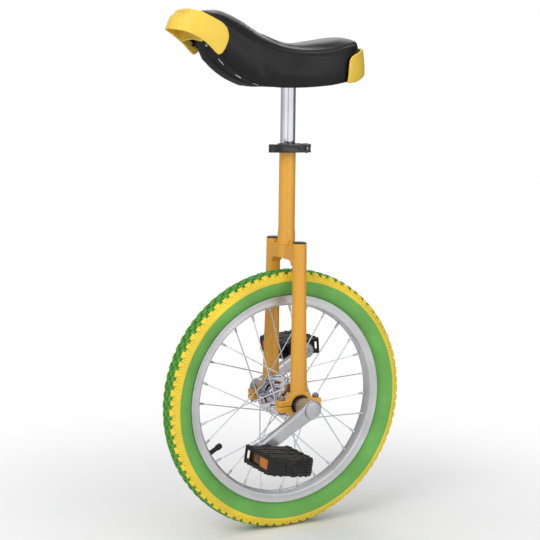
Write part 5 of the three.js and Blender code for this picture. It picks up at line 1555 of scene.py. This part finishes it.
def crank_arm(name, matrix):
    obj = solid("crank", crank_shape())
    melt(obj, 0.0008, 3)
    groove = lathe([(0.0148, 0.1003), (0.0157, 0.1003), (0.0157, 0.1030), (0.0148, 0.1030)], 72)
    bore = lathe([(0, 0.060), (0.0096, 0.060), (0.0096, 0.0665), (0.0089, 0.0672), (0.0089, 0.0950),
                  (0, 0.0950)], 48)
    threaded = shifted(rod(0.0048, 0.085, 0.110, 32), x=CRANK_LENGTH)
    for cutter in (rod(0.0119, 0.0935, 0.104, 64), groove, bore, threaded):
        boolean(obj, cutter)
    place_mesh(obj, matrix)
    piece(f"{name}_crank_arm", obj, "wheel", CRANK_ALLOY, f"{name}_crank", angle=40)


def crank_bolt(name, matrix):
    bolt = merged(
        lathe([(0, 0.0938), (0.0088, 0.0938), (0.0092, 0.0942), (0.0092, 0.0952), (0, 0.0954)], 36),
        prism(hex_outline(0.0070), 0.0948, 0.0988),
        moved(threads(0.0037, 0.0740, 0.0944), Matrix.Rotation(math.radians(-90), 4, "X")))
    piece(f"{name}_axle_bolt", moved(bolt, matrix), "wheel", BOLT_STEEL, f"{name}_crank_bolt",
          0.0003)


def crank_cap(name, matrix):
    face = CRANK_FACE + 0.0003
    cap = [(0, face + 0.0013), (0.0090, face + 0.0013), (0.0094, face + 0.0012), (0.0128, face + 0.0011),
           (0.0133, face + 0.0009), (0.0141, face + 0.0012), (0.0147, face + 0.0008), (0.0149, face),
           (0.0116, face), (0.0116, face - 0.0016), (0, face - 0.0016)]
    piece(f"{name}_boss_cap", moved(lathe(cap, 72), matrix), "wheel", CRANK_ALLOY,
          f"{name}_crank_cap", angle=30)


def pedal_spindle(name, matrix):
    """The pedal's axle, screwed into the crank's eye, with two spanner flats."""
    flats = [(0.0078 * math.cos(TURN * i / 32), 0.0078 * math.sin(TURN * i / 32)) for i in range(32)]
    flats = [(max(min(x, 0.0070), -0.0070), z) for x, z in flats]
    spindle = merged(
        lathe([(0, 0.0900), (0.0042, 0.0900), (0.0046, 0.0906), (0.0046, 0.2080), (0.0040, 0.2086),
               (0, 0.2086)], 32),
        prism(flats, 0.1053, 0.1098))
    piece(f"{name}_spindle", moved(shifted(spindle, x=CRANK_LENGTH), matrix), "wheel", STEEL,
          f"{name}_pedal_axle", 0.0003)


def cranks():
    """The right crank is the left one mirrored and turned by half a turn."""
    turned = Matrix.Rotation(-CRANK_ANGLE, 4, "Y")
    other = Matrix.Diagonal((1, -1, 1, 1)) @ Matrix.Rotation(math.pi, 4, "Y") @ turned
    for (name, _), turn in zip(SIDES, (turned, other)):
        matrix = Matrix.Translation((0, 0, AXLE_Z)) @ turn
        crank_arm(name, matrix)
        crank_bolt(name, matrix)
        crank_cap(name, matrix)
        pedal_spindle(name, matrix)


PEDAL_HALF = 0.0395
PEDAL_NEAR = 0.1180
PEDAL_CORNER = 0.2040
PEDAL_FAR = 0.2140
PEDAL_TALL = 0.0150
LIGHT_FROM, LIGHT_TO = 0.1380, 0.1970


def pedal_outline(inset=0.0):
    near, corner, far = PEDAL_NEAR + inset, PEDAL_CORNER, PEDAL_FAR - inset
    half = PEDAL_HALF - inset
    outer = curve_through([(half, corner), (0.0300, corner + 0.0056 - inset), (0.0150, far - 0.0008),
                           (0.0, far), (-0.0150, far - 0.0008), (-0.0300, corner + 0.0056 - inset),
                           (-half, corner)], 4)
    return [(half, near)] + outer + [(-half, near)]


def pedal_wall():
    rim_wall = 0.0062
    inside = PEDAL_HALF - rim_wall
    near, far = PEDAL_NEAR + 0.0055, PEDAL_CORNER - 0.0045
    hole = [(inside, near), (inside, far), (-inside, far), (-inside, near)]
    wall = prism(pedal_outline(), -PEDAL_TALL + 0.0016, PEDAL_TALL - 0.0016, "XY", [hole])
    return wall, inside + 0.001


def pedal_slats(level, long):
    """The slats and the lengthwise bars of the upper side (level 1) or the lower side (level -1)."""
    shapes = []
    for i in range(6):
        y = PEDAL_NEAR + 0.0105 + i * 0.0140
        top = PEDAL_TALL - 0.0010 + 0.0006 * (i % 2)
        shapes.append(block(-long, long, y - 0.0037, y + 0.0037, level * (PEDAL_TALL - 0.0050), level * top))
    for x, wide in ((-0.0235, 0.0032), (0.0, 0.0090), (0.0235, 0.0032)):
        shapes.append(block(x - wide, x + wide, PEDAL_NEAR + 0.003, PEDAL_CORNER,
                            level * (PEDAL_TALL - 0.0058), level * (PEDAL_TALL - 0.0016)))
    return shapes


def pedal_ridges():
    """Fine ridges along the curved far end."""
    shapes = []
    ridge = [(x, y) for x, y in pedal_outline(-0.0009) if y > PEDAL_CORNER - 0.001]
    inside = [(x * 0.96, y - 0.003) for x, y in reversed(ridge)]
    for level in (-0.0084, -0.0042, 0.0, 0.0042, 0.0084):
        shapes.append(prism(ridge + inside, level - 0.0008, level + 0.0008, "XY"))
    return shapes


def pedal_teeth(side, level):
    """Teeth along one long edge, and five more round the corner."""
    shapes = []
    count = 9
    for i in range(count):
        y = PEDAL_NEAR + 0.004 + i * (PEDAL_CORNER - PEDAL_NEAR - 0.008) / (count - 1)
        shapes.append(block(side * (PEDAL_HALF - 0.0056), side * (PEDAL_HALF - 0.0004),
                            y - 0.0026, y + 0.0026,
                            level * (PEDAL_TALL - 0.0022), level * (PEDAL_TALL + 0.0008 * (i % 2))))
    root = PEDAL_TALL - 0.0006
    for i in range(5):
        x = side * (0.0130 + i * 0.0052)
        y = PEDAL_CORNER + 0.0040 - 0.0006 * i
        shapes.append(block(x - 0.0014, x + 0.0014, y - 0.0028, y + 0.0020,
                            level * (root - 0.0022), level * (root + 0.0012 * (i % 2))))
    return shapes


def pedal_body():
    """A platform pedal about its own axle: side plates with slots, toothed edges, slats and a barrel."""
    wall, long = pedal_wall()
    shapes = [wall]
    for level in (1, -1):
        shapes += pedal_slats(level, long)
    shapes += pedal_ridges()
    for side in (1, -1):
        for level in (1, -1):
            shapes += pedal_teeth(side, level)
    barrel = lathe([(0, PEDAL_NEAR - 0.0015), (0.0125, PEDAL_NEAR - 0.0015), (0.0132, PEDAL_NEAR),
                    (0.0134, PEDAL_FAR - 0.002), (0.0148, PEDAL_FAR), (0, PEDAL_FAR)], 56)
    boss = lathe([(0, PEDAL_NEAR - 0.0020), (0.0148, PEDAL_NEAR - 0.0020), (0.0163, PEDAL_NEAR - 0.0006),
                  (0.0163, PEDAL_NEAR + 0.0060), (0.0150, PEDAL_NEAR + 0.0072), (0, PEDAL_NEAR + 0.0072)],
                 56)
    obj = solid("pedal", merged(*shapes, barrel, boss))
    melt(obj, 0.0006, 1, 0.4)
    return obj


def cut_pedal(obj):
    """Opens the axle bore, the seats of the two reflectors and the slots beside each of them."""
    cutters = [lathe([(0, 0.100), (0.0083, 0.100), (0.0083, 0.1186), (0.0049, 0.1188), (0.0049, 0.2095),
                      (0, 0.2095)], 32),
               rod(0.0126, PEDAL_FAR - 0.003, PEDAL_FAR + 0.003, 40)]
    for side in (1, -1):
        for inner, outer, low, high, tall in (
                (0.0060, -0.001, LIGHT_FROM - 0.0003, LIGHT_TO + 0.0003, 0.0083),
                (0.0100, -0.001, 0.1220, 0.1352, 0.0080),
                (0.0150, 0.0032, 0.1120, 0.1250, 0.0080)):
            cutters.append(block(side * (PEDAL_HALF - inner), side * (PEDAL_HALF - outer), low, high,
                                 -tall, tall))
    for cutter in cutters:
        boolean(obj, cutter)


# Each reflector's near part, up to here, is coloured a darker amber as painted shade.
PAINTED_SHADE_UNTIL = 0.1700


def reflector(side):
    """A flat lens: its far part is bright and split by two bars, and its near part is set back and coloured a
    darker amber as painted shade.
    """
    outer, tall = PEDAL_HALF - 0.0010, 0.0080
    back = side * (outer - 0.0045)
    shapes = [prism([(PAINTED_SHADE_UNTIL, -tall), (LIGHT_TO, -tall), (LIGHT_TO, tall), (PAINTED_SHADE_UNTIL, tall)],
                    back, side * outer, "YZ"),
              prism([(LIGHT_FROM, -tall), (PAINTED_SHADE_UNTIL, -tall), (PAINTED_SHADE_UNTIL, tall), (LIGHT_FROM, tall)],
                    back, side * (outer - 0.0018), "YZ")]
    for i in range(2):
        y = PAINTED_SHADE_UNTIL + (LIGHT_TO - PAINTED_SHADE_UNTIL) * (i + 1) / 3
        shapes.append(block(side * (outer - 0.001), side * (outer + 0.0005), y - 0.0004, y + 0.0004,
                            -0.0076, 0.0076))
    return merged(*shapes)


def lens(name, end, facing, matrix):
    obj = solid("reflector", reflector(facing))
    bevel(obj, 0.0003)
    obj.data.materials.append(AMBER)
    obj.data.materials.append(AMBER_PAINTED_SHADE)
    for face in obj.data.polygons:
        # The near part gets the darker amber, which is painted shade.
        face.material_index = 1 if face.center.y < PAINTED_SHADE_UNTIL else 0
    place_mesh(obj, matrix)
    piece(f"{name}_{end}_reflector", obj, f"{name}_pedal", AMBER,
          f"{name}_pedal_{end}_reflector")


def pedal_cap(name, matrix):
    face = PEDAL_FAR + 0.0003
    cap = [(0, face + 0.0042), (0.0066, face + 0.0042), (0.0071, face + 0.0034), (0.0096, face + 0.0034),
           (0.0102, face + 0.0040), (0.0128, face + 0.0032), (0.0145, face + 0.0014), (0.0147, face),
           (0.0123, face), (0.0123, face - 0.0020), (0, face - 0.0020)]
    piece(f"{name}_pedal_dust_cap", moved(lathe(cap, 64), matrix), f"{name}_pedal", BLACK_PLASTIC,
          f"{name}_pedal_end_cap", angle=30)


def pedals():
    for (name, side), eye, pitch in zip(SIDES, (LEFT_EYE, RIGHT_EYE), (8, -4)):
        matrix = Matrix.Translation((eye.x, 0, eye.z)) @ Matrix.Rotation(math.radians(-pitch), 4, "Y")
        matrix = matrix @ Matrix.Diagonal((1, side, 1, 1))
        obj = pedal_body()
        cut_pedal(obj)
        place_mesh(obj, matrix)
        piece(f"{name}_pedal_platform", obj, f"{name}_pedal", BLACK_PLASTIC,
              f"{name}_pedal_body", angle=35)
        lens(name, "front", 1, matrix)
        lens(name, "rear", -1, matrix)
        pedal_cap(name, matrix)


# ---------------------------------------------------------------- stage, light and camera

def world_light():
    """White behind the object, and a pale room with darker strips around it for the metal to mirror."""
    world = bpy.data.worlds.new("studio")
    w = Nodes(world)
    x, y, z = w.split(w.add("TexCoord").outputs["Generated"])
    heading = w.remap(w.math("ARCTAN2", y, x), -math.pi, math.pi)
    greys = [(-180, 0.16), (-126, 0.16), (-108, 0.36), (-60, 0.46), (0, 0.8), (16, 1.15), (55, 1.15),
             (59, 0.25), (65, 0.25), (69, 1.15), (137, 1.1), (160, 0.2), (180, 0.16)]
    stops = [((degrees + 180) / 360, (grey, grey, grey * 1.02, 1)) for degrees, grey in greys]
    strips = w.ramp(heading, stops)
    colour = w.mix(w.remap(z, 0.45, 0.85), strips, (0.85, 0.85, 0.86, 1))
    room = w.nodes["Background"]
    w.join(colour, room.inputs["Color"])
    w.join(0.8, room.inputs["Strength"])
    white = w.add("Background")
    w.join((1, 1, 1, 1), white.inputs["Color"])
    seen = w.add("LightPath").outputs["Is Camera Ray"]
    w.join(w.blend(seen, room.outputs[0], white.outputs[0]), w.nodes["World Output"].inputs["Surface"])
    bpy.context.scene.world = world


def floor():
    """A pale floor that fades into the white around it."""
    s = Shader("floor_look")
    tone = s.ramp(s.noise(3, 3), [(0.3, (0.90, 0.90, 0.90, 1)), (0.7, (0.93, 0.93, 0.93, 1))])
    s.set(Base_Color=tone, Roughness=0.7, Normal=s.bump(s.noise(60, 2), 0.02, 0.001))
    white = s.add("Emission")
    s.join((1, 1, 1, 1), white.inputs["Color"])
    clear = s.add("BsdfTransparent").outputs[0]
    glow = s.blend(s.add("LightPath").outputs["Is Camera Ray"], clear, white.outputs[0])
    fade = s.remap(s.length(s.place), 0.22, 0.95, interpolation_type="SMOOTHSTEP")
    s.join(s.blend(fade, s.surface.outputs[0], glow), s.nodes["Material Output"].inputs["Surface"])
    edge = circle(0, 0, 6.0, 96)
    obj = solid("floor", ([(x, y, -0.0002) for x, y in edge], [tuple(range(96))]))
    obj.data.materials.append(s.material)


def softbox(name, place, size, power):
    light = bpy.data.lights.new(name, "AREA")
    light.shape = "SQUARE"
    light.size = size
    light.energy = power
    obj = link(name, light)
    obj.location = place
    obj.rotation_euler = facing(place, (0.0, 0.0, 0.45)).to_euler()


def facing(place, target):
    """The turn of a light or a camera at a place so that it looks at a target."""
    return (Vector(target) - Vector(place)).to_track_quat("-Z", "Y")


def studio():
    floor()
    world_light()
    softbox("key", (1.9, 1.0, 2.0), 1.4, 22)
    softbox("fill", (-0.6, 2.4, 1.3), 1.6, 9)
    softbox("rim_light", (-1.2, -1.9, 1.9), 1.2, 8)
    softbox("top", (0.2, 0.2, 2.8), 1.4, 8)


def camera():
    data = bpy.data.cameras.new("camera")
    data.lens = 93.7
    data.sensor_width = 36
    data.clip_start = 0.05
    data.clip_end = 50
    obj = link("camera", data)
    place = Vector((1.1517, 2.1055, 0.7934))
    target = Vector((0.02428, -0.01287, 0.45247))
    turn = facing(place, target).to_matrix().to_4x4()
    obj.matrix_world = Matrix.Translation(place) @ turn @ Matrix.Rotation(math.radians(0.68), 4, "Z")
    scene = bpy.context.scene
    scene.camera = obj
    scene.view_settings.view_transform = "Standard"
    scene.view_settings.look = "None"


# ---------------------------------------------------------------- the whole

def build():
    frame_fork()
    seat_tube()
    both_sides(leg_plugs)
    both_sides(bearing_caps)
    both_sides(holder_bolts)
    both_sides(bearings)
    seat_clamp()
    clamp_hardware()
    quick_release()
    seat_post()
    saddle_cover()
    saddle_foam()
    saddle_base()
    staples()
    front_bumper()
    rear_bumper()
    tyre_carcass()
    for name, side in SIDES:
        shoulder_tread(name, side)
    centre_tread()
    rim()
    rim_tape()
    inner_tube()
    valve_cap()
    hub()
    axle()
    spokes()
    cranks()
    pedals()
    studio()
    camera()


def corners(box):
    return [[float(v) for v in corner] for corner in box]


build()
